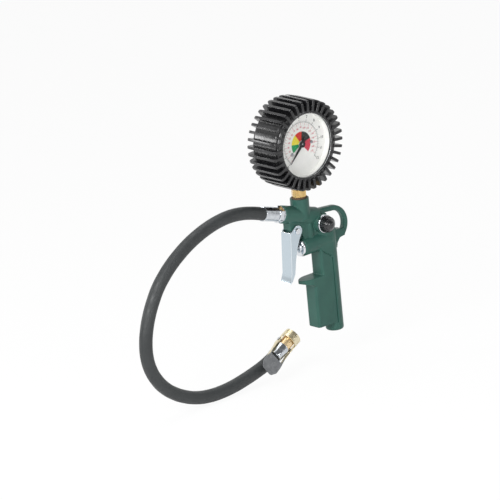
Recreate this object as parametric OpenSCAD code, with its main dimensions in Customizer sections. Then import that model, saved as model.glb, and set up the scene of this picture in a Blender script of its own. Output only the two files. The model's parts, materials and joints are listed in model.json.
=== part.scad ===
// Hand-held tyre inflator with a dial gauge, a short hose and a clip-on chuck.
// Millimetres. The origin is the centre of the air inlet mouth under the grip,
// +Z runs up the grip, -X points forward along the hose and -Y faces the dial.

/* [Grip] */
// Width of the grip across its flat sides
grip_w = 17.2; // [16.4:0.2:19]
// Distance from the inlet axis forward to the lower front face
grip_front = 25; // [22:0.5:28]
// Distance from the inlet axis forward to the upper front face
grip_front_upper = 15; // [13.5:0.5:17]
// Height of the grip block's underside above the inlet mouth
grip_underside = 8.5; // [6:0.5:11]
// Radius of the front corners of the grip
grip_corner_r = 2.5; // [1.5:0.1:3.5]
// Radius of the air column down the back of the grip
column_r = 8.4; // [7.9:0.1:9]
// Height of the top face of the finger spur
spur_z = 56.6; // [50:0.2:62]
// Reach of the spur's tip forward of the inlet axis
spur_reach = 39; // [36:0.5:40]
// Depth by which each flat side of the grip is set in
side_depth = 0.9; // [0.5:0.1:1.2]
// Height of the valve bore's axis above the inlet mouth
valve_z = 87.8; // [84:0.2:90]

/* [Head] */
// Distance from the inlet axis forward to the neck axis
neck_reach = 28.5; // [27:0.5:31]
// Height of the neck's top rim
neck_top = 134; // [132:0.5:140]
// Radius of the neck
neck_r = 8.7; // [8:0.1:9.5]
// Distance from the inlet axis forward to the hose boss's front face
hose_boss_reach = 52.4; // [50:0.2:55]
// Height of the centre of the hose boss's front face
hose_boss_z = 124.4; // [122:0.2:127]
// Angle by which the hose boss rises towards the front
hose_rise = 17; // [12:0.5:19]
// Radius of the hose boss
hose_boss_r = 8.3; // [7.8:0.1:9]
// Radius of the valve boss
valve_boss_r = 9; // [8.5:0.1:9.6]
// Distance from the inlet axis forward to the valve boss's front face
valve_boss_reach = 32.6; // [31.5:0.2:34]
// Thickness of the web that joins the bosses
web_w = 9; // [7:0.5:12]
// Radius of the hang loop's centre line
loop_r = 15.8; // [14.5:0.1:17]
// Thickness of the hang loop from side to side
loop_w = 6.4; // [5:0.2:8]
// Width of the hang loop's bar in its own plane
loop_bar = 4.8; // [4:0.2:6]

/* [Gauge] */
// Height of the gauge's centre above the inlet mouth
gauge_z = 186.5; // [184:0.5:192]
// Outer radius of the gauge case
case_r = 31.5; // [31:0.1:32]
// Depth of the gauge case behind its rim
case_depth = 30.2; // [28:0.2:34]
// Wall of the gauge case
case_wall = 1.2; // [0.8:0.1:1.5]
// Wall of the rubber guard's sleeve
sleeve_wall = 4; // [3.5:0.1:4.6]
// Height of the guard's ribs above its sleeve
rib_h = 6.6; // [5:0.2:7]
// Thickness of one rib
rib_t = 2.4; // [2:0.1:3.2]
// Number of ribs round the guard
rib_count = 36; // [24:1:40]
// Thickness of the rim that stands round the dial plate
dial_wall = 0.6; // [0.4:0.1:0.8]
// Distance from the lens down to the dial's face
dial_recess = 5.6; // [5:0.2:7]
// Width of the brass stem's hexagon across its flats
stem_flats = 12.2; // [12:0.2:14]
// Length of the pointer from the arbor to its tip
pointer_len = 21.8; // [18:0.2:26]
// Number of teeth on the pinion
pinion_teeth = 12; // [10:1:14]
// Ratio between the sector and the pinion
gear_ratio = 8; // [7:1:9]
// Gear module of the movement
gear_module = 0.25; // [0.24:0.01:0.26]
// Turn of the pointer from zero to the end of the scale
pointer_sweep = 270; // [240:5:280]

/* [Trigger and valve] */
// Distance from the inlet axis forward to the trigger pin
pivot_reach = 39.6; // [39.2:0.1:40.4]
// Height of the trigger pin
pivot_z = 105.8; // [105.2:0.1:106.8]
// Outer width of the lever channel
lever_w = 13.2; // [12.6:0.1:14]
// Sheet thickness of the lever
lever_t = 1.4; // [1:0.1:1.8]
// Radius of the lever's ears round the pin
ear_r = 5.4; // [4.6:0.1:5.6]
// Radius of the trigger pin
pin_r = 1.5; // [1.2:0.1:1.8]
// Angle by which the lever leans forward towards its lower end
lever_lean = 4.4; // [4:0.2:7]
// Length of the lever below the pin
lever_len = 48.5; // [44:0.5:49]
// Length of the lever's lip below its bend
lip_len = 9; // [6:0.5:11]
// Radius of the valve stem
stem_r = 2; // [1.6:0.1:2.2]
// Radius of the valve chamber in the body
chamber_r = 6; // [5.8:0.1:6.3]
// Outer radius of the gland nut's round cap
gland_r = 8.4; // [7.8:0.1:8.8]

/* [Bleed valve] */
// Distance from the inlet axis forward to the bleed valve's axis
bleed_reach = 10.4; // [9:0.2:12]
// Height of the bleed valve's axis
bleed_z = 106; // [104:0.2:107]
// Distance from the middle plane to the bleed boss's face
bleed_face = 9.6; // [9:0.2:11]
// Radius of the black ribbed ring at its foot
bleed_bezel_r = 8; // [7.6:0.1:8.4]
// Length of the black ribbed ring
bleed_bezel_t = 6; // [5.4:0.2:8]
// Thickness of the bleed valve's lock nut
bleed_nut_t = 3.2; // [2.4:0.2:4]
// Radius of the bleed button
bleed_button_r = 5.4; // [5:0.1:5.6]
// Rise of the button's dome
bleed_dome = 3; // [2:0.2:4]
// Travel of the bleed button
bleed_travel = 2; // [1.5:0.1:2.4]

/* [Hose and chuck] */
// Outer radius of the hose
hose_r = 6.1; // [5.8:0.1:6.3]
// Bore radius of the hose
hose_bore_r = 3.1; // [2.8:0.1:3.4]
// Outer radius of the crimped ferrules
ferrule_r = 6.8; // [6.6:0.1:7.2]
// Length of the ferrule at the body
ferrule_len = 17; // [14:0.5:18]
// Length of the ferrule at the chuck
chuck_ferrule_len = 13; // [12:0.5:15]
// Angle by which the clip is turned round the chuck towards the dial side
clip_turn = 112; // [96:1:130]
// Radius of the chuck's brass head
chuck_r = 5.8; // [5.6:0.1:6.4]
// Length of the chuck's brass head
chuck_len = 14; // [13.5:0.5:18]
// Width of the thumb plate on the chuck's lever
thumb_w = 17.4; // [16.8:0.2:20]
// Radius of the mouth that takes the tyre valve
mouth_r = 4; // [3.9:0.1:4.2]

/* [Clearances] */
// Radial clearance of a running pin or stem
run_gap = 0.05; // [0.03:0.01:0.08]
// Gap between parts that pass each other
air_gap = 0.3; // [0.2:0.05:0.4]

/* [Hidden] */

$fn = 64;

// Bright and dark finishes
green = [0.13, 0.36, 0.30];
black = [0.12, 0.12, 0.13];
chrome = [0.80, 0.82, 0.85];
brass = [0.80, 0.66, 0.36];
steel = [0.60, 0.61, 0.63];
white = [0.95, 0.95, 0.93];
red = [0.70, 0.20, 0.16];

// Body
column_edge = 2;
column_top = 97;
web_edge_z = 77;
inlet_thread_r = 5.9;
inlet_thread_len = 12;
air_way_r = 2.6;
riser_reach = 22;
riser_r = 4.6;
neck_thread_r = 5.9;
neck_thread_len = 11;
hose_thread_r = 5.9;
hose_thread_len = 11;
hose_boss_len = hose_boss_reach - 10.4;
spur_side_r = 16;
spur_nose = 3;
spur_root_z = spur_z - 8;
flat_w = grip_w - 2 * side_depth;
side_back = 1.5;
side_top = 71.9;
side_top_front = 81.8;
lug_w = lever_w - 2 * lever_t - 2 * air_gap;
lug_front = pivot_reach + 7;
loop_x = 7;
loop_z = 98.5;
loop_tilt = 5;
loop_end = -46;
bleed_boss_r = 8.3;
beyond = 60; // longer than any hole that it cuts

// Gauge
stem_thread_len = 10;
stem_seat_z = neck_top + 1.2;
stem_neck_r = stem_flats / 2 - 0.2;
rim = 15.2;
case_back = rim - case_depth;
lens_t = 1.6;
bezel_front = rim + 2.4;
bezel_lip_r = case_r - 1.9;
lens_r = case_r - 0.7;
lens_back = rim;
dial_t = 0.6;
dial_face = lens_back - dial_recess;
dial_back = dial_face - dial_t;
dial_r = case_r - case_wall - 0.4;
dial_rim = lens_back - 0.2;
guard_in_r = case_r + 0.1;
sleeve_r = guard_in_r + sleeve_wall;
guard_r = sleeve_r + rib_h;
guard_lip_r = bezel_lip_r - 0.2;
guard_front = bezel_front + 2.7;
guard_back = case_back - 3;
block_w = 13;
block_front = 4.4;
block_back = -4.6;
plate_t = 1.2;
block_top = -14;
plate_low = block_top - 7;
case_screw_y = -case_r + 8.5;
foot_low = -case_r + case_wall + 1.8;
plate_top = 8;
tube_line_r = 21;
tube_section_r = 1.7;
tube_section_len = 8;
tube_start = -94;
tube_grip = 20;
tube_turn = 250;
tube_tip = tube_start - tube_turn;
tab_w = 3;
tab_reach = 3.4;
arbor_r = 0.9;
arbor_len_back = block_back - plate_t - 0.6;
pitch_r = gear_module * pinion_teeth / 2;
sector_r = pitch_r * gear_ratio;
gear_z = -1;
gear_t = 1.6;
sector_angle = -52;
sector_x = (pitch_r + sector_r) * cos(sector_angle);
sector_y = (pitch_r + sector_r) * sin(sector_angle);
sector_swing = pointer_sweep / gear_ratio;
tooth_h = gear_module * 0.7;
sector_teeth = pinion_teeth * gear_ratio;
tooth_pitch = 360 / sector_teeth;
tail_len = 6;
tail_angle = -10;
link_t = 0.8;
link_w = 2.4;
link_top = gear_z - air_gap;
link_pin_r = 0.6;
spring_z = 1.6;
spring_r = 4.1;
spring_angle = 47;
spring_turns = 3;
spring_strip = 0.16;
pointer_zero = 225;
pointer_t = 0.5;
hub_r = 3;
pointer_back = dial_face + 1.3;
dial_post_r = 1.6;
dial_post_x = 12;
dial_post_y = 3;
dial_screw_len = 3;
pillar_x = 5.6;
pillar_y = 6;
pillar_r = 1.3;
stud_r = 0.6;
plate_screw_x = 4;
plate_screw_y = block_top - 3.4;
small_screw_r = 1;

// Trigger and valve
lever_web_in = 7.2;
lever_web_out = lever_web_in + lever_t;
lug_r = 5;
lever_bend = lever_len - lip_len;
lip_out = 2.8;
gland_flange = 3;
gland_collar_r = 4.8;
gland_head = 4.6;
gland_shank = 8;
seat_back = -9.3;
seat_bore_r = stem_r + 1.1;
cage_r = 4;
disc_t = 1.6;
head_r = 4.4;
head_t = 1.4;
chamber_end = 3;
head_back = seat_back + disc_t + head_t;
stem_tip = -(pivot_reach + lever_web_in / cos(lever_lean) + (pivot_z - valve_z) * tan(lever_lean))
  + air_gap;

// Bleed valve
bleed_nut_r = bleed_boss_r + 0.2;
bleed_bezel_taper = 1.2;
bleed_thread_r = 5;
bleed_thread_len = 5.4;
bleed_pin_r = 1;
bleed_hole_r = 1.6;
bleed_rib_count = 30;
bleed_rib = 0.84;
bleed_seat_y = bleed_face - bleed_thread_len - 1.2;
bleed_disc_t = 1;
bleed_head_t = 0.8;
bleed_chamber_r = 3.2;
bleed_chamber = bleed_disc_t + bleed_head_t + bleed_travel + air_gap;
bleed_top = bleed_face + bleed_nut_t + bleed_bezel_t;
bleed_rise = 0.2;
bleed_dome_r = (pow(bleed_button_r, 2) + pow(bleed_dome, 2)) / (2 * bleed_dome);
bleed_floor = bleed_face + bleed_nut_t + 0.9;

// Hose and chuck
nipple_hex = 14;
nipple_hex_len = 5;
nipple_washer_t = 1;
barb_r = hose_bore_r;
nipple_bore_r = 2;
barb_len = ferrule_len - 3;
fitting_len = nipple_washer_t + nipple_hex_len + ferrule_len;
hose_exit = [
  -hose_boss_reach - fitting_len * cos(hose_rise),
  hose_boss_z + fitting_len * sin(hose_rise)
];
// Centre line of the hose from the ferrule's mouth to the chuck, as [x, z]
hose_route = [
  hose_exit, [-88, 135.4], [-101, 138.1], [-114, 139], [-127, 138], [-140, 135.4],
  [-152.5, 131.5], [-164.5, 126.5], [-175.5, 120.5], [-186, 113.5], [-195.5, 105.5],
  [-204, 96.5], [-211, 86], [-217, 74.5], [-221.5, 62], [-224, 49.5], [-224.2, 37],
  [-221.5, 25], [-216, 14], [-208, 4], [-197.5, -4.5], [-185, -11.5], [-171.5, -16.5],
  [-157, -19.2], [-142.5, -19.8], [-128, -18.8], [-114.5, -16.6], [-101.5, -13.8],
  [-88.5, -10.2], [-76, -5.2]
];
hose_sides = 12;
ferrule_wall = 1.2;
ferrule_groove = 0.15;
ferrule_lip = 0.2;
chuck_rise = 28;
chuck_x = hose_route[len(hose_route) - 1][0];
chuck_z = hose_route[len(hose_route) - 1][1];
head_start = chuck_ferrule_len;
head_end = head_start + chuck_len;
socket_len = 5.8;
seal_len = 3;
seal_r = mouth_r + 0.5;
seal_bore_r = 2.2;
core_r = 1;
core_base_t = 1.2;
core_base_z = head_end - socket_len - seal_len - core_base_t;
clip_pivot_z = head_start + 2.5;
clip_t = 1;
clip_in = ferrule_r + air_gap;
clip_out = clip_in + clip_t;
arm_in = clip_in + 0.1;
arm_out = clip_out - 0.1;
hood_start = clip_pivot_z + 5;
hood_side = -1.5;
claw_start = head_end + 0.4;
claw_end = claw_start + clip_t;
claw_r = mouth_r + 0.6;
clip_pin_r = 1.2;
clip_pin_root = 3;
clip_pin_head = 0.6;
thumb_x = clip_in + 2.3;
thumb_front = -4;
thumb_rear = -21;
thumb_flare = 3.2;
clip_spring_r = 1.75;
clip_wire = 0.4;
valve_wire = 0.8;
valve_coils = 5;
bleed_wire = 0.5;
bleed_coils = 4;

// Turns a shape that is drawn along +Z so that it runs forward, to -X
module facing_front() {
  rotate([0, -90, 0]) children();
}

// Turns a shape that is drawn along +Z so that it runs to the dial side, -Y
module facing_side() {
  rotate([90, 0, 0]) children();
}

// Puts a shape at the gauge's centre, with X right, Y up and Z out of the dial
module at_gauge() {
  translate([-neck_reach, 0, gauge_z]) facing_side() children();
}

// Puts a shape on the valve's axis, with +Z running backward along +X
module at_valve() {
  translate([0, 0, valve_z]) rotate([0, 90, 0]) children();
}

// Puts a shape on the bleed valve's axis, with Z out of the side
module at_bleed() {
  translate([-bleed_reach, 0, bleed_z]) facing_side() children();
}

// Puts a shape on the hose boss's axis, with Z out of its front face
module at_hose_boss() {
  translate([-hose_boss_reach, 0, hose_boss_z]) rotate([0, hose_rise, 0]) facing_front() children();
}

// Puts a shape on the chuck's axis, with Z from the hose to the mouth
module at_chuck() {
  translate([chuck_x, 0, chuck_z])
    rotate([0, 90 - chuck_rise, 0])
      rotate([0, 0, -clip_turn])
        children();
}

// Puts a shape on the trigger pin, with X back, Y up and Z to the dial side
module at_trigger() {
  translate([-pivot_reach, 0, pivot_z]) facing_side() children();
}

// A washer or sleeve from z0 to z1
module ring(outer, inner, z0, z1) {
  translate([0, 0, z0]) difference() {
    cylinder(r = outer, h = z1 - z0);
    translate([0, 0, -1]) cylinder(r = inner, h = z1 - z0 + 2);
  }
}

// A rod from z0 to z1 with chamfered ends
module rod(r, z0, z1, edge = 0.4) {
  translate([0, 0, z0]) rotate_extrude()
    polygon([[0, 0], [r - edge, 0], [r, edge], [r, z1 - z0 - edge], [r - edge, z1 - z0], [0, z1 - z0]]);
}

// A rectangle from x0 to x1, w wide about the X axis, with its corners at x0 rounded
module rounded_front(x0, x1, w, r) {
  translate([x0 + r, -w / 2]) square([x1 - x0 - r, w]);
  translate([x0, -w / 2 + r]) square([x1 - x0, w - 2 * r]);
  for (side = [-1, 1]) translate([x0 + r, side * (w / 2 - r)]) circle(r);
}

// Closed skin over rings of points that all have the same number of points
module skin(rings) {
  count = len(rings[0]);
  last = len(rings) - 1;
  side_faces = [
    for (i = [0:last - 1], k = [0:count - 1])
      let (n = (k + 1) % count)
        [i * count + k, i * count + n, (i + 1) * count + n, (i + 1) * count + k]
  ];
  start_cap = [for (k = [count - 1:-1:0]) k];
  end_cap = [for (k = [0:count - 1]) last * count + k];
  polyhedron(
    points = [for (r = rings) each r],
    faces = concat(side_faces, [start_cap, end_cap]),
    convexity = 8
  );
}

// A coil of round wire, from z = 0 to z = h
module coil(r, wire_r, turns, h, steps = 14, sides = 6) {
  last = turns * steps;
  skin([
    for (i = [0:last])
      let (a = 360 * i / steps, z = wire_r + (h - 2 * wire_r) * i / last) [
        for (k = [0:sides - 1])
          let (b = 360 * k / sides, out = r + wire_r * cos(b))
            [out * cos(a), out * sin(a), z + wire_r * sin(b)]
      ]
  ]);
}

// Direction of the hose at route point i, as a unit vector in the middle plane
function along(i) =
  let (
    last = len(hose_route) - 1,
    d = i == 0 ? [-cos(hose_rise), sin(hose_rise)]
      : i == last ? [cos(chuck_rise), sin(chuck_rise)]
      : hose_route[i + 1] - hose_route[i - 1]
  )
    d / norm(d);

// A ring of the hose: round the point p, across the direction t, as wide as r
function hose_ring(p, t, r) = [
  for (k = [0:hose_sides - 1])
    let (b = 360 * k / hose_sides)
      [p[0] - r * t[1] * cos(b), r * sin(b), p[1] + r * t[0] * cos(b)]
];

// The whole hose: along its route and into both ferrules, bored there for the barbs
module hose_tube() {
  last = len(hose_route) - 1;
  from = along(0);
  to = along(last);
  bore = hose_bore_r / cos(180 / hose_sides);
  first_end = hose_route[0] - (ferrule_len - ferrule_wall) * from;
  last_end = hose_route[last] + (chuck_ferrule_len - ferrule_wall) * to;
  skin(concat(
    [hose_ring(hose_route[0], from, bore), hose_ring(first_end, from, bore)],
    [hose_ring(first_end, from, hose_r)],
    [for (i = [0:last]) hose_ring(hose_route[i], along(i), hose_r)],
    [hose_ring(last_end, to, hose_r)],
    [hose_ring(last_end, to, bore), hose_ring(hose_route[last], to, bore)]
  ));
}

// A flat bar with round ends from the point p to the point q, w wide
module bar(p, q, w) {
  d = q - p;
  lie = atan2(d[1], d[0]);
  polygon([
    for (a = [90:15:270]) p + w / 2 * [cos(lie + a), sin(lie + a)],
    for (a = [-90:15:90]) q + w / 2 * [cos(lie + a), sin(lie + a)]
  ]);
}

// Grip, spur and air column
module grip() {
  rotate_extrude() {
    translate([0, column_edge]) square([column_r, column_top - column_edge]);
    square([column_r - column_edge, column_edge]);
    translate([column_r - column_edge, column_edge]) circle(column_edge);
  }
  translate([0, 0, grip_underside]) linear_extrude(spur_z - grip_underside)
    rounded_front(-grip_front, 0, flat_w, grip_corner_r);
  translate([0, 0, spur_z - 1]) linear_extrude(valve_z - spur_z)
    rounded_front(-grip_front_upper, 0, flat_w, grip_corner_r);
  // The sides stand out beside the column and under the valve boss
  rotate([90, 0, 0]) linear_extrude(grip_w, center = true) polygon([
    [-side_back, grip_underside], [0, grip_underside], [0, valve_z], [-grip_front_upper, valve_z],
    [-grip_front_upper, side_top_front], [-side_back, side_top]
  ]);
  spur();
}

module spur() {
  intersection() {
    rotate([90, 0, 0]) linear_extrude(flat_w, center = true) {
      polygon([
        [-grip_front + 6, spur_z], [-spur_reach + spur_nose / 2, spur_z],
        [-spur_reach + spur_nose / 4, spur_z - spur_nose], [-grip_front - 2, spur_root_z + 2],
        [-grip_front, spur_root_z], [-grip_front + 6, spur_root_z]
      ]);
      translate([-spur_reach + spur_nose / 2, spur_z - spur_nose / 2]) circle(spur_nose / 2);
    }
    for (part = [0, 1]) translate([-grip_front, 0, spur_root_z - 1]) if (part == 0)
      intersection_for (side = [-1, 1])
        translate([0, side * (spur_side_r - flat_w / 2), 0]) cylinder(r = spur_side_r, h = 20);
    else
      translate([0, -flat_w / 2, 0]) cube([8, flat_w, 20]);
  }
}

// Web in the middle plane that ties the bosses, the column and the loop together
module web() {
  rotate([90, 0, 0]) linear_extrude(web_w, center = true) polygon([
    [-grip_front_upper, web_edge_z], [column_r, web_edge_z], [column_r + 0.6, 81],
    [12.5, 85.2], [18.5, 86], [20, 89], [17.5, 92.4], [9, 94], [2, 100], [-0.6, 106],
    [-1.2, 112], [-8, hose_boss_z - 7], [-neck_reach, hose_boss_z - 5.4], [-36, hose_boss_z - 6.4],
    [-38, 112], [-34, 108],
    [-31, 97], [-grip_front_upper, valve_z]
  ]);
}

// Rounded bar section in the XY plane
module loop_section() {
  edge = loop_bar * 0.3;
  square([loop_bar - 2 * edge, loop_w], center = true);
  square([loop_bar, loop_w - 2 * edge], center = true);
  for (x = [-1, 1], y = [-1, 1]) translate([x * (loop_bar / 2 - edge), y * (loop_w / 2 - edge)]) circle(edge);
}

module hang_loop() {
  translate([loop_x, 0, loop_z]) {
    rotate([90, 0, 0]) rotate([0, 0, loop_end]) rotate_extrude(angle = 90 - loop_tilt - loop_end)
      translate([loop_r, 0]) loop_section();
    rotate([0, -90 + loop_tilt, 0]) translate([loop_r, 0, 0])
      linear_extrude(neck_reach + loop_x) loop_section();
  }
}

// The lug that stands between the lever's ears
module trigger_lug() {
  rotate([90, 0, 0]) linear_extrude(lug_w, center = true) {
    translate([-pivot_reach, pivot_z]) circle(lug_r);
    polygon([
      [-lug_front, hose_boss_z - 7], [-lug_front, pivot_z + 2.2], [-lug_front + 1.2, pivot_z + 0.9],
      [-pivot_reach - lug_r + 0.5, pivot_z], [-pivot_reach, pivot_z - lug_r],
      [-30, pivot_z - lug_r], [-30, hose_boss_z - 7]
    ]);
  }
}

module bosses() {
  at_hose_boss() translate([0, 0, -hose_boss_len]) cylinder(r = hose_boss_r, h = hose_boss_len);
  translate([-neck_reach, 0, 114]) cylinder(r = neck_r, h = neck_top - 114);
  at_valve() translate([0, 0, -valve_boss_reach]) cylinder(r = valve_boss_r, h = valve_boss_reach);
  translate([-riser_reach, 0, valve_z]) cylinder(r = riser_r + 1, h = 30);
  at_bleed() translate([0, 0, -web_w / 2]) cylinder(r = bleed_boss_r, h = bleed_face + web_w / 2);
  // Shoulder between the column and the bleed boss
  translate([0, 0, web_edge_z + 8]) rotate([0, -atan(bleed_reach / (bleed_z - web_edge_z - 8)), 0])
    cylinder(r = column_r - 0.4, h = bleed_z - web_edge_z - 8);
}

module body_bores() {
  translate([0, 0, -1]) cylinder(r = inlet_thread_r, h = inlet_thread_len + 1);
  cylinder(r = air_way_r, h = valve_z);
  translate([-neck_reach, 0, neck_top - neck_thread_len])
    cylinder(r = neck_thread_r, h = neck_thread_len + 1);
  translate([-neck_reach, 0, hose_boss_z - 9]) cylinder(r = air_way_r, h = neck_top - hose_boss_z);
  at_hose_boss() {
    translate([0, 0, -hose_thread_len]) cylinder(r = hose_thread_r, h = hose_thread_len + 1);
    translate([0, 0, -hose_boss_len + 8]) cylinder(r = air_way_r, h = hose_boss_len - 8);
  }
  at_valve() translate([0, 0, -valve_boss_reach - 1])
    cylinder(r = chamber_r, h = valve_boss_reach + 1 + chamber_end);
  translate([-riser_reach, 0, valve_z]) cylinder(r = air_way_r, h = 26);
  at_bleed() {
    translate([0, 0, bleed_face - bleed_thread_len]) cylinder(r = bleed_thread_r, h = bleed_thread_len + 1);
    cylinder(r = bleed_hole_r, h = bleed_face);
    translate([0, 0, bleed_seat_y - bleed_chamber]) cylinder(r = bleed_chamber_r, h = bleed_chamber);
  }
  translate([-riser_reach, 0, bleed_z]) rotate([0, 90, 0])
    cylinder(r = bleed_hole_r, h = riser_reach - bleed_reach);
  at_trigger() translate([0, 0, -lug_w]) cylinder(r = pin_r, h = 2 * lug_w);
}

module gun_body() {
  color(green) difference() {
    union() {
      grip();
      web();
      hang_loop();
      trigger_lug();
      bosses();
    }
    body_bores();
  }
}

// Brass stem with its thread, its wrench hexagon and the block inside the case
module gauge_stem() {
  wall_z = gauge_z - case_r;
  color(brass) difference() {
    union() {
      translate([-neck_reach, 0, 0]) {
        rod(neck_thread_r, neck_top - stem_thread_len, stem_seat_z + 0.1);
        hex_nut(stem_flats, stem_seat_z, wall_z - 1);
        translate([0, 0, wall_z - 2]) cylinder(r = stem_neck_r, h = case_wall + 4);
      }
      at_gauge() {
        translate([-block_w / 2, foot_low, block_back])
          cube([block_w, block_top - foot_low, block_front - block_back]);
        translate([-block_w / 2, foot_low, case_back + case_wall])
          cube([block_w, plate_low - air_gap - foot_low, block_back - case_back - case_wall + 1]);
      }
    }
    translate([-neck_reach, 0, neck_top - stem_thread_len - 1])
      cylinder(r = air_way_r, h = gauge_z - tube_line_r - neck_top + stem_thread_len + 2);
    at_gauge() {
      tube_seat();
      for (side = [-1, 1]) translate([side * plate_screw_x, plate_screw_y, block_back - 1])
        cylinder(r = small_screw_r, h = block_front - block_back + 2);
      case_screw_places() translate([0, 0, case_back]) cylinder(r = small_screw_r, h = 6);
    }
  }
}

// The pocket of the block that takes the start of the tube
module tube_seat() {
  rotate([0, 0, tube_start - tube_grip]) rotate_extrude(angle = tube_grip)
    translate([tube_line_r, 0]) tube_outline(0.02);
}

module tube_outline(grow) {
  square([2 * tube_section_r + 2 * grow, tube_section_len - 2 * tube_section_r], center = true);
  for (end = [-1, 1]) translate([0, end * (tube_section_len / 2 - tube_section_r)])
    circle(tube_section_r + grow);
}

module case_screw_places() {
  for (side = [-1, 1]) translate([side * 4.2, case_screw_y, 0]) children();
}

module stem_washer() {
  color(red) translate([-neck_reach, 0, 0]) ring(neck_r - 1.6, neck_thread_r + 0.05, neck_top, stem_seat_z);
}

// Pressed case, open at the front, with a hole for the stem
module gauge_case() {
  color(black) at_gauge() difference() {
    translate([0, 0, case_back]) cylinder(r = case_r, h = case_depth);
    translate([0, 0, case_back + case_wall]) cylinder(r = case_r - case_wall, h = case_depth);
    rotate([90, 0, 0]) cylinder(r = stem_neck_r + 0.05, h = case_r + 5);
    case_screw_places() translate([0, 0, case_back - 1]) cylinder(r = small_screw_r, h = 4);
  }
}

module case_screws() {
  color(steel) at_gauge() case_screw_places() {
    translate([0, 0, case_back - 1.2]) difference() {
      cylinder(r = 2, h = 1.2);
      translate([-0.3, -3, -0.1]) cube([0.6, 6, 0.7]);
    }
    translate([0, 0, case_back]) cylinder(r = small_screw_r, h = 5);
  }
}

// Snap ring that holds the lens on the case
module gauge_bezel() {
  color(chrome) at_gauge() difference() {
    rod(case_r, rim, bezel_front, 0.5);
    translate([0, 0, rim - 1]) cylinder(r = lens_r + 0.02, h = lens_t + 1);
    cylinder(r = bezel_lip_r, h = beyond);
  }
}

module gauge_lens() {
  color([0.85, 0.92, 0.95, 0.35]) at_gauge() translate([0, 0, lens_back]) {
    cylinder(r = lens_r, h = lens_t);
    cylinder(r = bezel_lip_r - 0.05, h = lens_t + 0.6);
  }
}

// Envelope of the guard: wide in the middle and rounded at both ends
module guard_envelope(r) {
  span = guard_front - guard_back;
  rotate_extrude() polygon([
    [0, guard_back], [r - 3, guard_back], [r - 1.4, guard_back + 0.8], [r - 0.6, guard_back + 2.6],
    [r, guard_back + span * 0.35], [r, guard_front - span * 0.25], [r - 0.3, guard_front - 1.6],
    [r - 1, guard_front - 0.5], [r - 2.4, guard_front], [0, guard_front]
  ]);
}

module guard_sleeve() {
  rotate_extrude() polygon([
    [0, guard_back + 1], [sleeve_r - 1.5, guard_back + 1], [sleeve_r, guard_back + 2.5],
    [sleeve_r, guard_front - 5], [sleeve_r - 1.4, guard_front - 2.4], [bezel_lip_r + 3, guard_front - 1],
    [0, guard_front - 1]
  ]);
}

// Rubber guard: a sleeve with ribs that wrap round its front edge
module gauge_guard() {
  color(black) at_gauge() difference() {
    union() {
      guard_sleeve();
      intersection() {
        guard_envelope(guard_r);
        for (i = [0:rib_count - 1]) rotate([0, 0, (i + 0.5) * 360 / rib_count])
          translate([bezel_lip_r + 2.6, -rib_t / 2, guard_back - 1])
            cube([guard_r, rib_t, guard_front - guard_back + 2]);
      }
    }
    translate([0, 0, case_back]) cylinder(r = guard_in_r, h = bezel_front - case_back + air_gap);
    translate([0, 0, guard_back - 1]) cylinder(r = case_r - 5, h = 8);
    cylinder(r = guard_lip_r, h = beyond);
    rotate([90, 0, 0]) cylinder(r = stem_flats * 0.62 + air_gap, h = guard_r + 5);
  }
}

// Dial plate with a rim that stands up to the lens
module dial_plate() {
  color(white) at_gauge() difference() {
    translate([0, 0, dial_back]) cylinder(r = dial_r, h = dial_rim - dial_back);
    translate([0, 0, dial_face]) cylinder(r = dial_r - dial_wall, h = beyond);
    cylinder(r = arbor_r + 0.6, h = beyond);
    dial_posts() cylinder(r = small_screw_r, h = beyond);
  }
}

module dial_posts() {
  for (side = [-1, 1]) translate([side * dial_post_x, side * dial_post_y - 4, 0]) children();
}

module dial_screws() {
  color(steel) at_gauge() dial_posts() {
    translate([0, 0, dial_back - dial_screw_len]) cylinder(r = small_screw_r, h = dial_screw_len + dial_t);
    translate([0, 0, dial_face]) difference() {
      cylinder(r = 1.6, h = 0.7);
      translate([-0.2, -3, 0.4]) cube([0.4, 6, 1]);
    }
  }
}

// Outline that both movement plates share
module plate_outline() {
  difference() {
    union() {
      translate([-7.5, plate_low]) square([15, plate_top - plate_low]);
      translate([sector_x, sector_y]) circle(3);
      translate([0, sector_y - 3]) square([sector_x, 6]);
    }
    circle(arbor_r + run_gap);
    translate([sector_x, sector_y]) circle(arbor_r + run_gap);
    for (side = [-1, 1]) translate([side * plate_screw_x, plate_screw_y]) circle(small_screw_r);
  }
}

// Front plate of the movement, with the pillars, the dial's posts and the hairspring's stud
module front_plate() {
  color(brass) at_gauge() difference() {
    union() {
      translate([0, 0, block_front]) linear_extrude(plate_t) {
        plate_outline();
        for (side = [-1, 1])
          bar([side * 6, side * dial_post_y / 2 - 3], [side * dial_post_x, side * dial_post_y - 4], 4);
      }
      dial_posts() translate([0, 0, block_front]) cylinder(r = dial_post_r, h = dial_back - block_front);
      for (side = [-1, 1]) translate([side * pillar_x, pillar_y, block_back])
        cylinder(r = pillar_r, h = block_front - block_back);
      rotate([0, 0, spring_angle]) translate([spring_r + stud_r, 0, spring_z - 0.2])
        cylinder(r = stud_r, h = block_front - spring_z + 0.2);
    }
    dial_posts() translate([0, 0, dial_back - dial_screw_len])
      cylinder(r = small_screw_r, h = dial_screw_len + 1);
  }
}

module back_plate() {
  color(brass) at_gauge() translate([0, 0, block_back - plate_t]) linear_extrude(plate_t) plate_outline();
}

// Two screws that clamp both plates to the stem's block
module plate_screws() {
  head = 0.8;
  color(steel) at_gauge() for (side = [-1, 1]) translate([side * plate_screw_x, plate_screw_y, 0]) {
    translate([0, 0, block_back - plate_t])
      cylinder(r = small_screw_r - 0.02, h = block_front - block_back + 2 * plate_t);
    translate([0, 0, block_front + plate_t]) difference() {
      cylinder(r = small_screw_r + 0.8, h = head);
      translate([-0.2, -3, head / 2]) cube([0.4, 6, head]);
    }
  }
}

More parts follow.
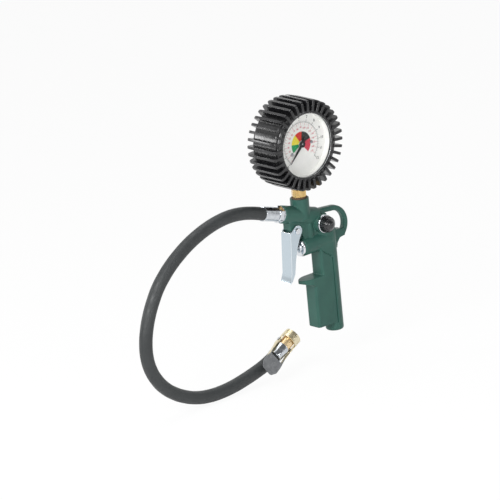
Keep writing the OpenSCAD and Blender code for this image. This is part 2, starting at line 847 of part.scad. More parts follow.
// C-shaped pressure tube, open at its root, closed at its tip, with a tab for the link
module bourdon_tube() {
  inset = 0.4;
  color(brass) at_gauge() {
    difference() {
      rotate([0, 0, tube_tip]) rotate_extrude(angle = tube_turn) translate([tube_line_r, 0]) tube_outline(0);
      rotate([0, 0, tube_tip + 3]) rotate_extrude(angle = tube_turn)
        translate([tube_line_r, 0]) tube_outline(-inset);
    }
    rotate([0, 0, tube_tip])
      translate([tube_line_r - tube_section_r - tab_reach + inset, 0, gear_z]) difference() {
      cube([tab_reach, tab_w, 1]);
      translate([tab_reach / 3, tab_w / 2, -1]) cylinder(r = link_pin_r, h = 3);
    }
  }
}

// Place of the link's pin in the tube's tab
function link_start() =
  let (x = tube_line_r - tube_section_r - tab_reach * 2 / 3 + 0.4, y = tab_w / 2)
    [x * cos(tube_tip) - y * sin(tube_tip), x * sin(tube_tip) + y * cos(tube_tip)];

// Place of the link's other end, behind the sector's tail
function link_end() = [sector_x + tail_len * cos(tail_angle), sector_y + tail_len * sin(tail_angle)];

module tube_link() {
  color(steel) at_gauge() {
    translate([0, 0, link_top - link_t]) linear_extrude(link_t) difference() {
      bar(link_start(), link_end(), link_w);
      translate(link_end()) circle(link_pin_r);
    }
    translate([link_start()[0], link_start()[1], link_top - link_t])
      cylinder(r = link_pin_r - 0.02, h = link_t + air_gap + 1.3);
  }
}

// One gear tooth that points along +X from the pitch circle of radius r
module tooth(r, width) {
  polygon([
    [r - 3 * tooth_h, -width * 0.8], [r, -width / 2], [r + tooth_h, -width * 0.28],
    [r + tooth_h, width * 0.28], [r, width / 2], [r - 3 * tooth_h, width * 0.8]
  ]);
}

// Toothed sector that the tube's tip drives; it turns away from its last tooth
module sector_gear() {
  towards = sector_angle + 180;
  spread = sector_swing + 3.2 * tooth_pitch;
  first = towards + 1.6 * tooth_pitch;
  color(brass) at_gauge() translate([sector_x, sector_y, 0]) {
    translate([0, 0, gear_z]) linear_extrude(gear_t) {
      for (i = [-1:ceil(sector_swing / tooth_pitch) + 1]) rotate([0, 0, towards - i * tooth_pitch])
        tooth(sector_r, PI * gear_module * 0.36);
      intersection() {
        circle(sector_r - tooth_h * 1.6);
        polygon([
          [0, 0],
          for (a = [first, first - spread / 2, first - spread]) 2 * sector_r * [cos(a), sin(a)]
        ]);
      }
      circle(2.2);
      bar([0, 0], tail_len * [cos(tail_angle), sin(tail_angle)], link_w);
    }
    translate([0, 0, block_back - plate_t]) cylinder(r = arbor_r, h = block_front - block_back + 2 * plate_t);
  }
}

// Arbor with the pinion cut on it
module pointer_arbor() {
  color(steel) at_gauge() {
    translate([0, 0, arbor_len_back])
      cylinder(r = arbor_r, h = pointer_back + pointer_t + 0.4 - arbor_len_back);
    translate([0, 0, gear_z]) linear_extrude(gear_t) {
      circle(pitch_r - tooth_h * 1.6);
      for (i = [0:pinion_teeth - 1]) rotate([0, 0, sector_angle + (i + 0.5) * 360 / pinion_teeth])
        tooth(pitch_r, PI * gear_module * 0.34);
    }
  }
}

module pointer() {
  color(black) at_gauge() translate([0, 0, pointer_back]) rotate([0, 0, pointer_zero]) difference() {
    union() {
      linear_extrude(pointer_t) polygon([
        [-6.5, -1.1], [0, -1.5], [pointer_len * 0.6, -0.75], [pointer_len, -0.15],
        [pointer_len, 0.15], [pointer_len * 0.6, 0.75], [0, 1.5], [-6.5, 1.1]
      ]);
      cylinder(r = hub_r, h = pointer_t + 0.6);
      translate([0, 0, -0.5]) cylinder(r = 1.6, h = 1);
    }
    translate([0, 0, -1]) cylinder(r = arbor_r, h = 4);
  }
}

// Flat spiral spring from the arbor to its stud on the front plate
module hairspring() {
  steps = 24;
  last = spring_turns * steps;
  r_in = arbor_r + 0.02;
  function at(i, edge) =
    let (
      a = 360 * i / steps + spring_angle - 360 * spring_turns,
      r = r_in + (spring_r - spring_strip - r_in) * i / last + edge * spring_strip
    )
      [r * cos(a), r * sin(a)];
  color(steel) at_gauge() translate([0, 0, spring_z]) linear_extrude(0.9)
    polygon(concat([for (i = [0:last]) at(i, 0)], [for (i = [last:-1:0]) at(i, 1)]));
}

// Hexagon nipple between the body and the hose, with its barbed tail
module hose_nipple() {
  hex_start = nipple_washer_t;
  hex_end = hex_start + nipple_hex_len;
  color(chrome) at_hose_boss() difference() {
    union() {
      rod(hose_thread_r, -hose_thread_len + 1, hex_start + 0.1);
      hex_nut(nipple_hex, hex_start, hex_end);
      barbed_tail(hex_end - 0.1, hex_end + barb_len);
    }
    translate([0, 0, -hose_thread_len - 1])
      cylinder(r = nipple_bore_r, h = hose_thread_len + hex_end + barb_len + 2);
  }
}

// Hexagon with its corners chamfered, flats wide across its flats
module hex_nut(flats, z0, z1) {
  corner_r = flats / 2 / cos(30);
  intersection() {
    translate([0, 0, z0]) cylinder(r = corner_r, h = z1 - z0, $fn = 6);
    rod(corner_r + 0.01, z0, z1, corner_r - flats / 2);
  }
}

module barbed_tail(z0, z1) {
  barbs = 4;
  root = barb_r - 0.4;
  step = (z1 - z0) / barbs;
  rotate_extrude() polygon(concat(
    [[0, z0]],
    [for (i = [0:barbs - 1])
      each [[root, z0 + i * step], [barb_r, z0 + i * step], [root, z0 + (i + 1) * step]]],
    [[0, z1]]
  ));
}

module nipple_washer() {
  color(chrome) at_hose_boss() ring(hose_boss_r - 0.7, hose_thread_r + 0.05, 0, nipple_washer_t);
}

// Crimped sleeve from z0 to z1, with two shallow crimp grooves and a lip at its mouth
module ferrule(z0, z1) {
  difference() {
    union() {
      rod(ferrule_r, z0, z1, 0.5);
      rod(ferrule_r + ferrule_lip, z1 - 1.6, z1, 0.3);
    }
    translate([0, 0, z0 + ferrule_wall]) cylinder(r = hose_r + 0.02, h = z1 - z0);
    translate([0, 0, z0 - 1]) cylinder(r = barb_r + 0.2, h = 4);
    for (z = [z0 + (z1 - z0) * 0.35, z0 + (z1 - z0) * 0.65])
      ring(ferrule_r + 1, ferrule_r - ferrule_groove, z - 0.5, z + 0.5);
  }
}

module hose_ferrule() {
  start = nipple_washer_t + nipple_hex_len;
  color(chrome) at_hose_boss() ferrule(start, start + ferrule_len);
}

module air_hose() {
  color(black) hose_tube();
}

module chuck_ferrule() {
  color(chrome) at_chuck() translate([0, 0, chuck_ferrule_len]) mirror([0, 0, 1])
    ferrule(0, chuck_ferrule_len);
}

// Brass head with its barbed tail, its mouth and the holes for the lever's pins
module chuck_body() {
  color(brass) at_chuck() difference() {
    union() {
      translate([0, 0, head_start]) mirror([0, 0, 1]) barbed_tail(-0.1, chuck_ferrule_len - 3);
      rod(chuck_r, head_start, head_end, 0.6);
    }
    translate([0, 0, 1]) cylinder(r = 1.6, h = head_end);
    translate([0, 0, head_end - socket_len - 1]) cylinder(r = mouth_r, h = socket_len + 2);
    translate([0, 0, core_base_z]) cylinder(r = seal_r, h = seal_len + core_base_t);
    ring(chuck_r + 1, chuck_r - 0.5, head_start + chuck_len * 0.55, head_start + chuck_len * 0.55 + 1);
    at_clip_pins() cylinder(r = clip_pin_r, h = chuck_r);
  }
}

// Puts a shape on the root of each pin of the chuck's lever, with Z outward
module at_clip_pins() {
  for (side = [-1, 1]) translate([0, side * clip_pin_root, clip_pivot_z])
    rotate([-90 * side, 0, 0]) children();
}

module chuck_seal() {
  color(black) at_chuck() ring(seal_r - 0.02, seal_bore_r, core_base_z + core_base_t, head_end - socket_len);
}

// Pin behind the seal that pushes the tyre valve's core open, on a base with air holes
module chuck_core_pin() {
  color(brass) at_chuck() difference() {
    union() {
      translate([0, 0, core_base_z]) cylinder(r = seal_r - 0.02, h = core_base_t);
      rod(core_r, core_base_z, head_end - socket_len - 0.2, 0.3);
    }
    for (a = [0:90:270]) rotate([0, 0, a]) translate([2.4, 0, core_base_z - 1]) cylinder(r = 0.8, h = 3);
  }
}

// Lever of the chuck: two arms, a thumb plate behind them and a hood with a claw at the mouth
module chuck_clip() {
  color(steel) at_chuck() difference() {
    union() {
      for (side = [-1, 1]) translate([0, side * (arm_in + arm_out) / 2, 0]) rotate([90, 0, 0])
        linear_extrude(arm_out - arm_in, center = true) arm_outline();
      intersection() {
        union() {
          ring(clip_out, clip_in, hood_start, claw_end);
          ring(clip_out, claw_r, claw_start, claw_end);
        }
        translate([hood_side, -beyond / 2, 0]) cube(beyond);
      }
      thumb_plate();
    }
    translate([0, 0, clip_pivot_z]) rotate([90, 0, 0])
      cylinder(r = clip_pin_r + run_gap, h = beyond, center = true);
  }
}

// Side view of one arm, with x away from the chuck's axis and y along it
module arm_outline() {
  polygon([
    [-2.4, clip_pivot_z - 4.5], [-2.4, claw_start - 2], [hood_side, claw_end], [3, claw_end],
    [3, hood_start - 1], [3.6, clip_pivot_z - 3], [thumb_x - 3.4, 3], [thumb_x + 0.5, -4],
    [thumb_x + 0.5, -8], [thumb_x - 2, -8.4], [1.2, clip_pivot_z - 10]
  ]);
}

// Plate that the thumb presses towards the hose
module thumb_plate() {
  waist = arm_out - 0.1;
  far_x = thumb_x + thumb_flare;
  intersection() {
    rotate([90, 0, 0]) linear_extrude(thumb_w, center = true) polygon([
      [thumb_x, thumb_front], [thumb_x + 0.3, -8], [far_x, thumb_rear], [far_x + clip_t, thumb_rear],
      [thumb_x + 0.3 + clip_t, -8], [thumb_x + clip_t, thumb_front]
    ]);
    rotate([0, 90, 0]) linear_extrude(beyond) polygon([
      [0, -4], [0, 4], [-thumb_front, waist], [9, thumb_w / 2 + 0.1], [15, thumb_w / 2 + 0.1],
      [-thumb_rear - 1, 6], [-thumb_rear, 4.4], [-thumb_rear, -4.4], [-thumb_rear - 1, -6],
      [15, -thumb_w / 2 - 0.1], [9, -thumb_w / 2 - 0.1], [-thumb_front, -waist]
    ]);
  }
}

// Two stub pins, pressed into the head, that the lever turns on
module clip_pin() {
  reach = arm_out - clip_pin_root;
  color(steel) at_chuck() at_clip_pins() {
    cylinder(r = clip_pin_r, h = reach + 0.2);
    translate([0, 0, reach + 0.1]) rod(clip_pin_r + 0.8, 0, clip_pin_head, 0.2);
  }
}

module clip_spring() {
  color(steel) at_chuck() translate([0, chuck_r + 0.15, clip_pivot_z]) rotate([-90, 0, 0])
    coil(clip_spring_r, clip_wire / 2, 2, arm_in - chuck_r - 0.2);
}

// Pressed channel lever, drawn at the pin with its web in front
module trigger_lever() {
  color(chrome) at_trigger() rotate([0, 0, -lever_lean]) difference() {
    union() {
      for (side = [-1, 1]) translate([0, 0, side * (lever_w - lever_t) / 2 - lever_t / 2])
        linear_extrude(lever_t) lever_cheek();
      translate([0, 0, -lever_w / 2]) linear_extrude(lever_w) lever_web();
    }
    cylinder(r = pin_r + run_gap, h = beyond, center = true);
  }
}

// Side view of one cheek, with x back from the pin and y up
module lever_cheek() {
  circle(ear_r);
  polygon([
    [-lever_web_out, -0.5], [-ear_r * 0.8, ear_r * 0.6], [ear_r, 0], [ear_r * 0.9, -2],
    [1.9, -7.7], [-0.9, -16.3], [-3.2, -28], [-4, -lever_bend * 0.9], [-4.4, -lever_bend],
    [-lever_web_in - lip_out + 2, -lever_len + 2], [-lever_web_in - lip_out - 0.2, -lever_len + 1],
    [-lever_web_out, -lever_bend]
  ]);
}

// Side view of the web and of the lip that bends forward below it
module lever_web() {
  polygon([
    [-lever_web_out, -0.5], [-lever_web_in, -0.5], [-lever_web_in, -lever_bend],
    [-lever_web_in - lip_out, -lever_len + 0.4], [-lever_web_in - lip_out - 0.3, -lever_len],
    [-lever_web_out - lip_out, -lever_len + 0.3], [-lever_web_out, -lever_bend + 0.4]
  ]);
}

module trigger_pin() {
  color(chrome) at_trigger() {
    cylinder(r = pin_r, h = lever_w + 1, center = true);
    for (side = [-1, 1]) scale([1, 1, side]) translate([0, 0, lever_w / 2 + 0.1])
      rod(pin_r + 1.5, 0, 1.1, 0.5);
  }
}

// Round cap that closes the valve chamber, with a collar round the stem
module gland_nut() {
  front = -valve_boss_reach;
  color(chrome) at_valve() difference() {
    union() {
      rod(gland_r, front - gland_flange, front, 0.7);
      rod(gland_collar_r, front - gland_head, front - gland_flange + 0.5, 0.4);
      rod(chamber_r - 0.02, front - 0.5, front + gland_shank, 0.4);
    }
    translate([0, 0, front - beyond / 2]) cylinder(r = stem_r + run_gap, h = beyond);
    translate([0, 0, front + gland_shank - 3]) cylinder(r = stem_r + 2, h = 4);
  }
}

module stem_o_ring() {
  front = -valve_boss_reach;
  color(black) at_valve() translate([0, 0, front + gland_shank - 1.6]) rotate_extrude()
    translate([stem_r + run_gap + 0.9, 0]) circle(0.88);
}

// Turned seat with its cross holes towards the riser
module valve_seat() {
  color(brass) at_valve() difference() {
    translate([0, 0, -valve_boss_reach + gland_shank + 0.05])
      cylinder(r = chamber_r - 0.02, h = valve_boss_reach - gland_shank - 0.05 + seat_back);
    translate([0, 0, -beyond]) cylinder(r = cage_r, h = beyond + seat_back - 2.4);
    translate([0, 0, -beyond]) cylinder(r = seat_bore_r, h = 2 * beyond);
    translate([0, 0, -riser_reach]) for (a = [0:90:270]) rotate([0, 90, a]) cylinder(r = 1.6, h = 10);
  }
}

module valve_stem() {
  color(steel) at_valve() {
    translate([0, 0, stem_tip + 1.4]) cylinder(r = stem_r, h = seat_back + disc_t - stem_tip - 1.4);
    translate([0, 0, stem_tip + 2.2]) intersection() {
      sphere(2.2);
      cylinder(r = stem_r, h = 8, center = true);
    }
    translate([0, 0, seat_back + disc_t]) cylinder(r = head_r, h = head_t);
    translate([0, 0, head_back]) cylinder(r = 2.4, h = 2);
  }
}

module valve_disc() {
  color(black) at_valve() ring(head_r, stem_r, seat_back + 0.02, seat_back + disc_t);
}

module valve_spring() {
  color(steel) at_valve() translate([0, 0, head_back])
    coil(3.4, valve_wire / 2, valve_coils, chamber_end - head_back);
}

// Chrome lock nut on the bleed boss, with the threaded sleeve behind it
module bleed_nut() {
  color(chrome) at_bleed() difference() {
    union() {
      rod(bleed_nut_r, bleed_face, bleed_face + bleed_nut_t, 0.5);
      translate([0, 0, bleed_face - bleed_thread_len])
        cylinder(r = bleed_thread_r - 0.02, h = bleed_thread_len + 0.5);
    }
    translate([0, 0, bleed_face - bleed_thread_len - 1]) cylinder(r = bleed_pin_r + 0.6, h = beyond);
    translate([0, 0, bleed_face + bleed_nut_t - 3]) cylinder(r = 3.1, h = 5);
  }
}

// Black ribbed ring round the button, narrower towards its front rim
module bleed_bezel() {
  foot = bleed_face + bleed_nut_t;
  lean = atan(bleed_bezel_taper / bleed_bezel_t);
  skin_r = bleed_bezel_r - 0.5;
  color(black) at_bleed() difference() {
    union() {
      rotate_extrude() polygon([
        [0, foot], [skin_r - 0.3, foot], [skin_r, foot + 0.4], [skin_r - bleed_bezel_taper, bleed_top - 0.5],
        [skin_r - bleed_bezel_taper - 0.4, bleed_top], [0, bleed_top]
      ]);
      for (i = [0:bleed_rib_count - 1]) rotate([0, 0, i * 360 / bleed_rib_count])
        translate([bleed_bezel_r - 1.2, -bleed_rib / 2, foot + 0.1]) rotate([0, -lean, 0])
          cube([1.2, bleed_rib, bleed_bezel_t - 1.8]);
    }
    translate([0, 0, bleed_face]) cylinder(r = bleed_button_r + run_gap, h = beyond);
  }
}

// Domed push button
module bleed_button() {
  base = bleed_floor + bleed_travel;
  shoulder = bleed_top + bleed_rise;
  color(black) at_bleed() difference() {
    rotate_extrude() {
      translate([0, base]) square([bleed_button_r, shoulder - base]);
      intersection() {
        translate([0, shoulder - 0.1]) square([bleed_button_r, bleed_dome + 1]);
        translate([0, shoulder + bleed_dome - bleed_dome_r]) circle(bleed_dome_r);
      }
    }
    translate([0, 0, base - 1]) ring(4.6, 2.4, 0, 2.4);
    translate([0, 0, base - 1]) cylinder(r = bleed_pin_r, h = 4);
  }
}

module bleed_pin() {
  color(brass) at_bleed() {
    translate([0, 0, bleed_seat_y])
      cylinder(r = bleed_pin_r, h = bleed_floor + bleed_travel + 3 - bleed_seat_y);
    translate([0, 0, bleed_seat_y - bleed_disc_t - bleed_head_t]) cylinder(r = 2, h = bleed_head_t);
    translate([0, 0, bleed_seat_y - bleed_disc_t - 0.1])
      cylinder(r = bleed_pin_r - 0.3, h = bleed_disc_t + 0.2);
  }
}

module bleed_disc() {
  color(black) at_bleed() ring(2.8, bleed_pin_r - 0.3, bleed_seat_y - bleed_disc_t, bleed_seat_y - 0.02);
}

module bleed_spring() {
  start = bleed_face + bleed_nut_t;
  color(steel) at_bleed() translate([0, 0, start])
    coil(3.6, bleed_wire / 2, bleed_coils, bleed_floor + bleed_travel + 1.4 - start);
}

gun_body();
gauge_stem();
stem_washer();
gauge_case();
case_screws();
gauge_bezel();
gauge_lens();
gauge_guard();
dial_plate();
dial_screws();
front_plate();
back_plate();
plate_screws();
bourdon_tube();
tube_link();
sector_gear();
pointer_arbor();
pointer();
hairspring();
hose_nipple();
nipple_washer();
hose_ferrule();
air_hose();
chuck_ferrule();
chuck_body();
chuck_seal();
chuck_core_pin();
chuck_clip();
clip_pin();
clip_spring();
trigger_lever();
trigger_pin();
gland_nut();
stem_o_ring();
valve_stem();
valve_disc();
valve_seat();
valve_spring();
bleed_nut();
bleed_bezel();
bleed_button();
bleed_pin();
bleed_disc();
bleed_spring();
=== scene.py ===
"""Looks of a hand-held tyre inflator: an enamelled gun with a dial gauge in a ribbed rubber guard,
and a short rubber hose that ends in a clip-on chuck.
"""
import json
import math

import bmesh
import bpy
from mathutils import Matrix, Vector


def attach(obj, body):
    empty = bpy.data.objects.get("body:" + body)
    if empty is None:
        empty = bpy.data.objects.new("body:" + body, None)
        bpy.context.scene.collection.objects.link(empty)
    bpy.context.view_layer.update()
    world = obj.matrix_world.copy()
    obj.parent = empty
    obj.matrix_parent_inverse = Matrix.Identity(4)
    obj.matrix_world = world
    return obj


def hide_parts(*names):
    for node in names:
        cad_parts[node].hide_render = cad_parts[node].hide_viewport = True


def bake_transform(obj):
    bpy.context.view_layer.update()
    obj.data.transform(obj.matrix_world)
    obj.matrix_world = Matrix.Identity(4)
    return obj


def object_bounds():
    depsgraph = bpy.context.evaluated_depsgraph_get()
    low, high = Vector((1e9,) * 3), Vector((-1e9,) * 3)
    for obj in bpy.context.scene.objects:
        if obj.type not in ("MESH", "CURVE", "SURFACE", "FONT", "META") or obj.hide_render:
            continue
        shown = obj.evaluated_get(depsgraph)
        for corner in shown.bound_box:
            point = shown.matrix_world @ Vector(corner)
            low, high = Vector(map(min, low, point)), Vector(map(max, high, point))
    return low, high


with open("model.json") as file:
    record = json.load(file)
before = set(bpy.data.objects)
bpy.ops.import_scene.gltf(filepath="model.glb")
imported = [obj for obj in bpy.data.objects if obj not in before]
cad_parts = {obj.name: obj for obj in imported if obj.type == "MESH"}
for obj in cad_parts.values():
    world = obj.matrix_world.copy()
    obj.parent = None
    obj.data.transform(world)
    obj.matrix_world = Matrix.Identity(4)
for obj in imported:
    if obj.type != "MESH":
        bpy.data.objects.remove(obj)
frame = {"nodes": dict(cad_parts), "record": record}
cad_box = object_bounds()

# Shapes are drawn in millimetres and angles are in degrees, except where a comment says otherwise
MM = 0.001
PER_METRE = 1000
ORIGIN = (0, 0, 0)
BODY_OF = {
    node: body
    for body, nodes in frame["record"]["behaviour"]["bodies"].items()
    for node in nodes
}


def rotation(axis, degrees, size=3):
    return Matrix.Rotation(math.radians(degrees), size, axis)


def place_at(x, y, z, *turns):
    """Where a piece drawn round its own Z axis goes; turns are (axis, degrees), outermost first."""
    place = Matrix.Translation((x * MM, y * MM, z * MM))
    for axis, degrees in turns:
        place = place @ rotation(axis, degrees, 4)
    return place @ Matrix.Scale(MM, 4)


# Z out of the dial, X to its right and Y up
GAUGE = place_at(-28.5, 0, 186.5, ("X", 90))
# Z out of the hose boss towards the hose
HOSE_BOSS = place_at(-52.4, 0, 124.4, ("Y", 17), ("Y", -90))
# Z from the hose's end to the mouth of the chuck, X towards the lever's hood
CHUCK = place_at(-76, 0, -5.2, ("Y", 62), ("Z", -112))
CHUCK_AXIS = (0.8829, 0, 0.4695)


def new_object(name, data):
    """An object with this data, in the scene."""
    made = bpy.data.objects.new(name, data)
    bpy.context.scene.collection.objects.link(made)
    return made


# ---------------------------------------------------------------- camera and light

AZIMUTH, ELEVATION, LEAN = -41.5, 12.9, 7
DISTANCE = 5092
SENSOR_WIDTH, FOCAL_LENGTH = 36, 403.2
NECK_TOP = Vector((-28.5, 0, 134))
# The camera aims this far to the left of the neck's top and below it, as it sees them
AIM_LEFT, AIM_BELOW = 44.7, 47.7
# In metres
NEAREST, FARTHEST = 0.05, 20
LAMPS_AIM = Vector((-0.05, 0, 0.1))


def make_camera():
    """A long lens that looks down a little on the dial side, with the gun leaning back."""
    turn = rotation("Y", LEAN) @ rotation("Z", AZIMUTH) @ rotation("X", 90 - ELEVATION)
    right, up, towards = turn.col
    aim = NECK_TOP - AIM_LEFT * right - AIM_BELOW * up
    camera = new_object("camera", bpy.data.cameras.new("camera"))
    camera.data.sensor_width = SENSOR_WIDTH
    camera.data.lens = FOCAL_LENGTH
    camera.data.clip_start = NEAREST
    camera.data.clip_end = FARTHEST
    camera.matrix_world = Matrix.Translation((aim + DISTANCE * towards) * MM) @ turn.to_4x4()
    bpy.context.scene.camera = camera


def softbox(name, place, width, height, power):
    """An upright area lamp that faces the object, in metres and watts."""
    lamp = bpy.data.lights.new(name, "AREA")
    lamp.shape = "RECTANGLE"
    lamp.size = width
    lamp.size_y = height
    lamp.energy = power
    box = new_object(name, lamp)
    box.location = place
    box.rotation_euler = (LAMPS_AIM - Vector(place)).to_track_quat("-Z", "Y").to_euler()


make_camera()
softbox("key", (-1.1, -0.3, 0.7), 0.6, 0.7, 13.5)
softbox("front", (-0.45, -1.15, 0.4), 0.5, 0.5, 4)
softbox("glint", (0.6, -1.05, 0.3), 0.2, 0.2, 0.8)
softbox("top", (-0.1, 0.15, 1.3), 0.8, 0.8, 5)
softbox("edge", (-0.75, 0.85, 0.36), 0.22, 0.18, 1.5)


# ---------------------------------------------------------------- materials

# A pattern goes from its one look to its other between these values of its noise
NOISE_LOW, NOISE_HIGH = 0.35, 0.65
# How many threads of the wrap are crossed in the hose's 38 mm girth and in its 384 mm length
THREADS_ROUND, THREADS_ALONG = 16, 160


def colour(code):
    """An sRGB hex colour as linear red, green, blue and a full alpha."""
    parts = [int(code[i:i + 2], 16) / 255 for i in (1, 3, 5)]
    return [p / 12.92 if p <= 0.04045 else ((p + 0.055) / 1.055) ** 2.4 for p in parts] + [1.0]


def add(tree, kind, settings=(), links=(), **options):
    """Adds a node with its options, its socket settings and its links."""
    node = tree.nodes.new(kind)
    for name, value in options.items():
        setattr(node, name, value)
    for socket, value in dict(settings).items():
        node.inputs[socket].default_value = value
    for socket, source in dict(links).items():
        tree.links.new(source, node.inputs[socket])
    return node


def shader_of(material):
    return material.node_tree.nodes["Principled BSDF"]


def surface(name, base, roughness, metallic=0.0, **sockets):
    """A new material with its shader's base colour, gloss and other sockets set."""
    material = bpy.data.materials.new(name)
    material.use_nodes = True
    inputs = shader_of(material).inputs
    inputs["Base Color"].default_value = colour(base)
    inputs["Roughness"].default_value = roughness
    inputs["Metallic"].default_value = metallic
    for socket, value in sockets.items():
        inputs[socket.replace("_", " ")].default_value = value
    return material


def clouded(material, dark, light, size):
    """Colour that drifts softly between two shades, in patches size millimetres across."""
    tree = material.node_tree
    place = add(tree, "ShaderNodeTexCoord").outputs["Object"]
    cloud = add(
        tree, "ShaderNodeTexNoise", {"Scale": PER_METRE / size, "Detail": 4}, {"Vector": place}
    )
    part = add(
        tree, "ShaderNodeMapRange", {"From Min": NOISE_LOW, "From Max": NOISE_HIGH},
        {"Value": cloud.outputs[0]}
    )
    shade = add(
        tree, "ShaderNodeMix", {6: colour(dark), 7: colour(light)}, {0: part.outputs[0]},
        data_type="RGBA"
    )
    tree.links.new(shade.outputs[2], shader_of(material).inputs["Base Color"])


def patchy_gloss(material, low, high, size):
    """Roughness that changes between low and high, in patches size millimetres across."""
    tree = material.node_tree
    place = add(tree, "ShaderNodeTexCoord").outputs["Object"]
    cloud = add(
        tree, "ShaderNodeTexNoise", {"Scale": PER_METRE / size, "Detail": 3}, {"Vector": place}
    )
    rough = add(
        tree, "ShaderNodeMapRange",
        {"From Min": NOISE_LOW, "From Max": NOISE_HIGH, "To Min": low, "To Max": high},
        {"Value": cloud.outputs[0]}
    )
    tree.links.new(rough.outputs[0], shader_of(material).inputs["Roughness"])


def relief(material, height, depth):
    """Raises the surface by a height from 0 to 1, depth millimetres high, on top of its relief."""
    tree = material.node_tree
    normal = shader_of(material).inputs["Normal"]
    bump = add(tree, "ShaderNodeBump", {"Distance": depth * MM}, {"Height": height})
    if normal.is_linked:
        tree.links.new(normal.links[0].from_socket, bump.inputs["Normal"])
    tree.links.new(bump.outputs[0], normal)


def grained(material, size, depth):
    """Fine irregular grain, size millimetres across and depth millimetres high."""
    tree = material.node_tree
    place = add(tree, "ShaderNodeTexCoord").outputs["Object"]
    grain = add(
        tree, "ShaderNodeTexNoise", {"Scale": PER_METRE / size, "Detail": 2}, {"Vector": place}
    )
    relief(material, grain.outputs[0], depth)


def turned_marks(material, axis, pitch, depth):
    """Fine rings left by turning about an axis, pitch millimetres apart."""
    tree = material.node_tree
    place = add(tree, "ShaderNodeTexCoord").outputs["Object"]
    along = add(tree, "ShaderNodeVectorMath", {1: axis}, {0: place}, operation="DOT_PRODUCT")
    rings = add(
        tree, "ShaderNodeTexNoise", {"Scale": PER_METRE / pitch, "Detail": 3},
        {"W": along.outputs["Value"]}, noise_dimensions="1D"
    )
    relief(material, rings.outputs[0], depth)


def drawn_marks(material, stretch, size, depth):
    """Fine lines left by rolling or polishing, drawn out along the axis whose stretch is small."""
    tree = material.node_tree
    place = add(tree, "ShaderNodeTexCoord").outputs["Object"]
    drawn_out = add(tree, "ShaderNodeMapping", {"Scale": stretch}, {"Vector": place})
    lines = add(
        tree, "ShaderNodeTexNoise", {"Scale": PER_METRE / size, "Detail": 2},
        {"Vector": drawn_out.outputs[0]}
    )
    relief(material, lines.outputs[0], depth)


def stove_enamel():
    """Dark green stove enamel on a die casting: an even gloss with a slight waviness."""
    material = surface("green_stove_enamel", "#2e554c", 0.36, Specular_IOR_Level=0.3)
    clouded(material, "#2c524a", "#31594f", 18)
    patchy_gloss(material, 0.32, 0.42, 9)
    grained(material, 2.4, 0.02)
    grained(material, 0.6, 0.004)
    return material


def guard_rubber():
    """Compression-moulded black rubber, polished by the mould so that lit edges shine white."""
    material = surface("moulded_rubber", "#161618", 0.24, Coat_Weight=0.3, Coat_Roughness=0.12)
    clouded(material, "#141416", "#1a1a1c", 7)
    patchy_gloss(material, 0.2, 0.3, 4)
    grained(material, 1.5, 0.002)
    return material


def hose_rubber():
    """Black rubber cured in a cloth wrap: almost smooth, with the wrap's faint crossed print.

    The print is drawn coarser than the cloth is, 2.4 mm apart, so that it shows.
    """
    material = surface("wrapped_hose_rubber", "#292c2d", 0.5)
    clouded(material, "#282b2c", "#2d3031", 30)
    patchy_gloss(material, 0.44, 0.56, 6)
    tree = material.node_tree
    around_and_along = add(tree, "ShaderNodeTexCoord").outputs["UV"]
    for slant in (1, -1):
        turn = add(
            tree, "ShaderNodeVectorMath", {1: (THREADS_ROUND, slant * THREADS_ALONG, 0)},
            {0: around_and_along}, operation="DOT_PRODUCT"
        )
        angle = add(
            tree, "ShaderNodeMath", {1: math.tau}, {0: turn.outputs["Value"]}, operation="MULTIPLY"
        )
        thread = add(tree, "ShaderNodeMath", {}, {0: angle.outputs[0]}, operation="SINE")
        relief(material, thread.outputs[0], 0.006)
    return material


def plated(name, base, rough_low, rough_high, cloud_size=6):
    """Bright plating on pressed or turned steel: an even metal with faint patches of haze."""
    material = surface(name, base, rough_low, 1.0)
    patchy_gloss(material, rough_low, rough_high, cloud_size)
    return material


def nickel_plate():
    """Satin nickel on the pressed lever: pale, slightly blue, even, with a broad soft shine."""
    material = plated("satin_nickel", "#c6d2da", 0.15, 0.2, 12)
    grained(material, 8, 0.003)
    return material


def rubbed_nickel():
    """Nickel on the lever's rounded bends and rims, a little glossier, and painted nearly white
    there as a highlight.
    """
    return plated("rubbed_nickel", "#f4f9fb", 0.12, 0.16, 12)


def chrome_plate():
    """Bright chrome on the turned nuts: mirror-like with fine turning marks."""
    material = plated("bright_chrome", "#dcdfe3", 0.06, 0.14)
    grained(material, 1.6, 0.002)
    return material


def zinc_plate():
    """Bright zinc plating on the crimped sleeves: a little greyer and hazier than chrome."""
    material = plated("bright_zinc", "#ccd0d6", 0.14, 0.24, 3)
    clouded(material, "#c5cad0", "#d4d8dc", 3)
    grained(material, 1.2, 0.002)
    return material


def brass(name, axis, dark="#d6b070", light="#e6c78c", roughness=0.2):
    """Turned yellow brass, with fine rings from the lathe in its shine."""
    material = surface(name, dark, roughness, 1.0)
    clouded(material, dark, light, 5)
    patchy_gloss(material, roughness - 0.04, roughness + 0.06, 4)
    turned_marks(material, axis, 0.3, 0.003)
    return material


def stem_brass():
    """Turned brass with its wrench flats milled along the stem, which streaks their shine."""
    material = brass("turned_brass_stem", (0, 0, 1))
    drawn_marks(material, (1, 1, 0.02), 2.4, 0.16)
    return material


def sheet_brass():
    """Rolled and blanked brass of the movement: satin, with faint rolling lines."""
    material = surface("rolled_brass", "#cfa75e", 0.3, 1.0)
    clouded(material, "#c79d54", "#d8b26c", 6)
    drawn_marks(material, (0.05, 1, 1), 0.2, 0.006)
    return material


def spring_steel():
    """Bright zinc-plated steel of the springs, the screws and the small turned pins."""
    material = plated("spring_steel", "#b4b7ba", 0.22, 0.34, 4)
    clouded(material, "#a6a9ad", "#bfc2c5", 3)
    grained(material, 0.5, 0.006)
    return material


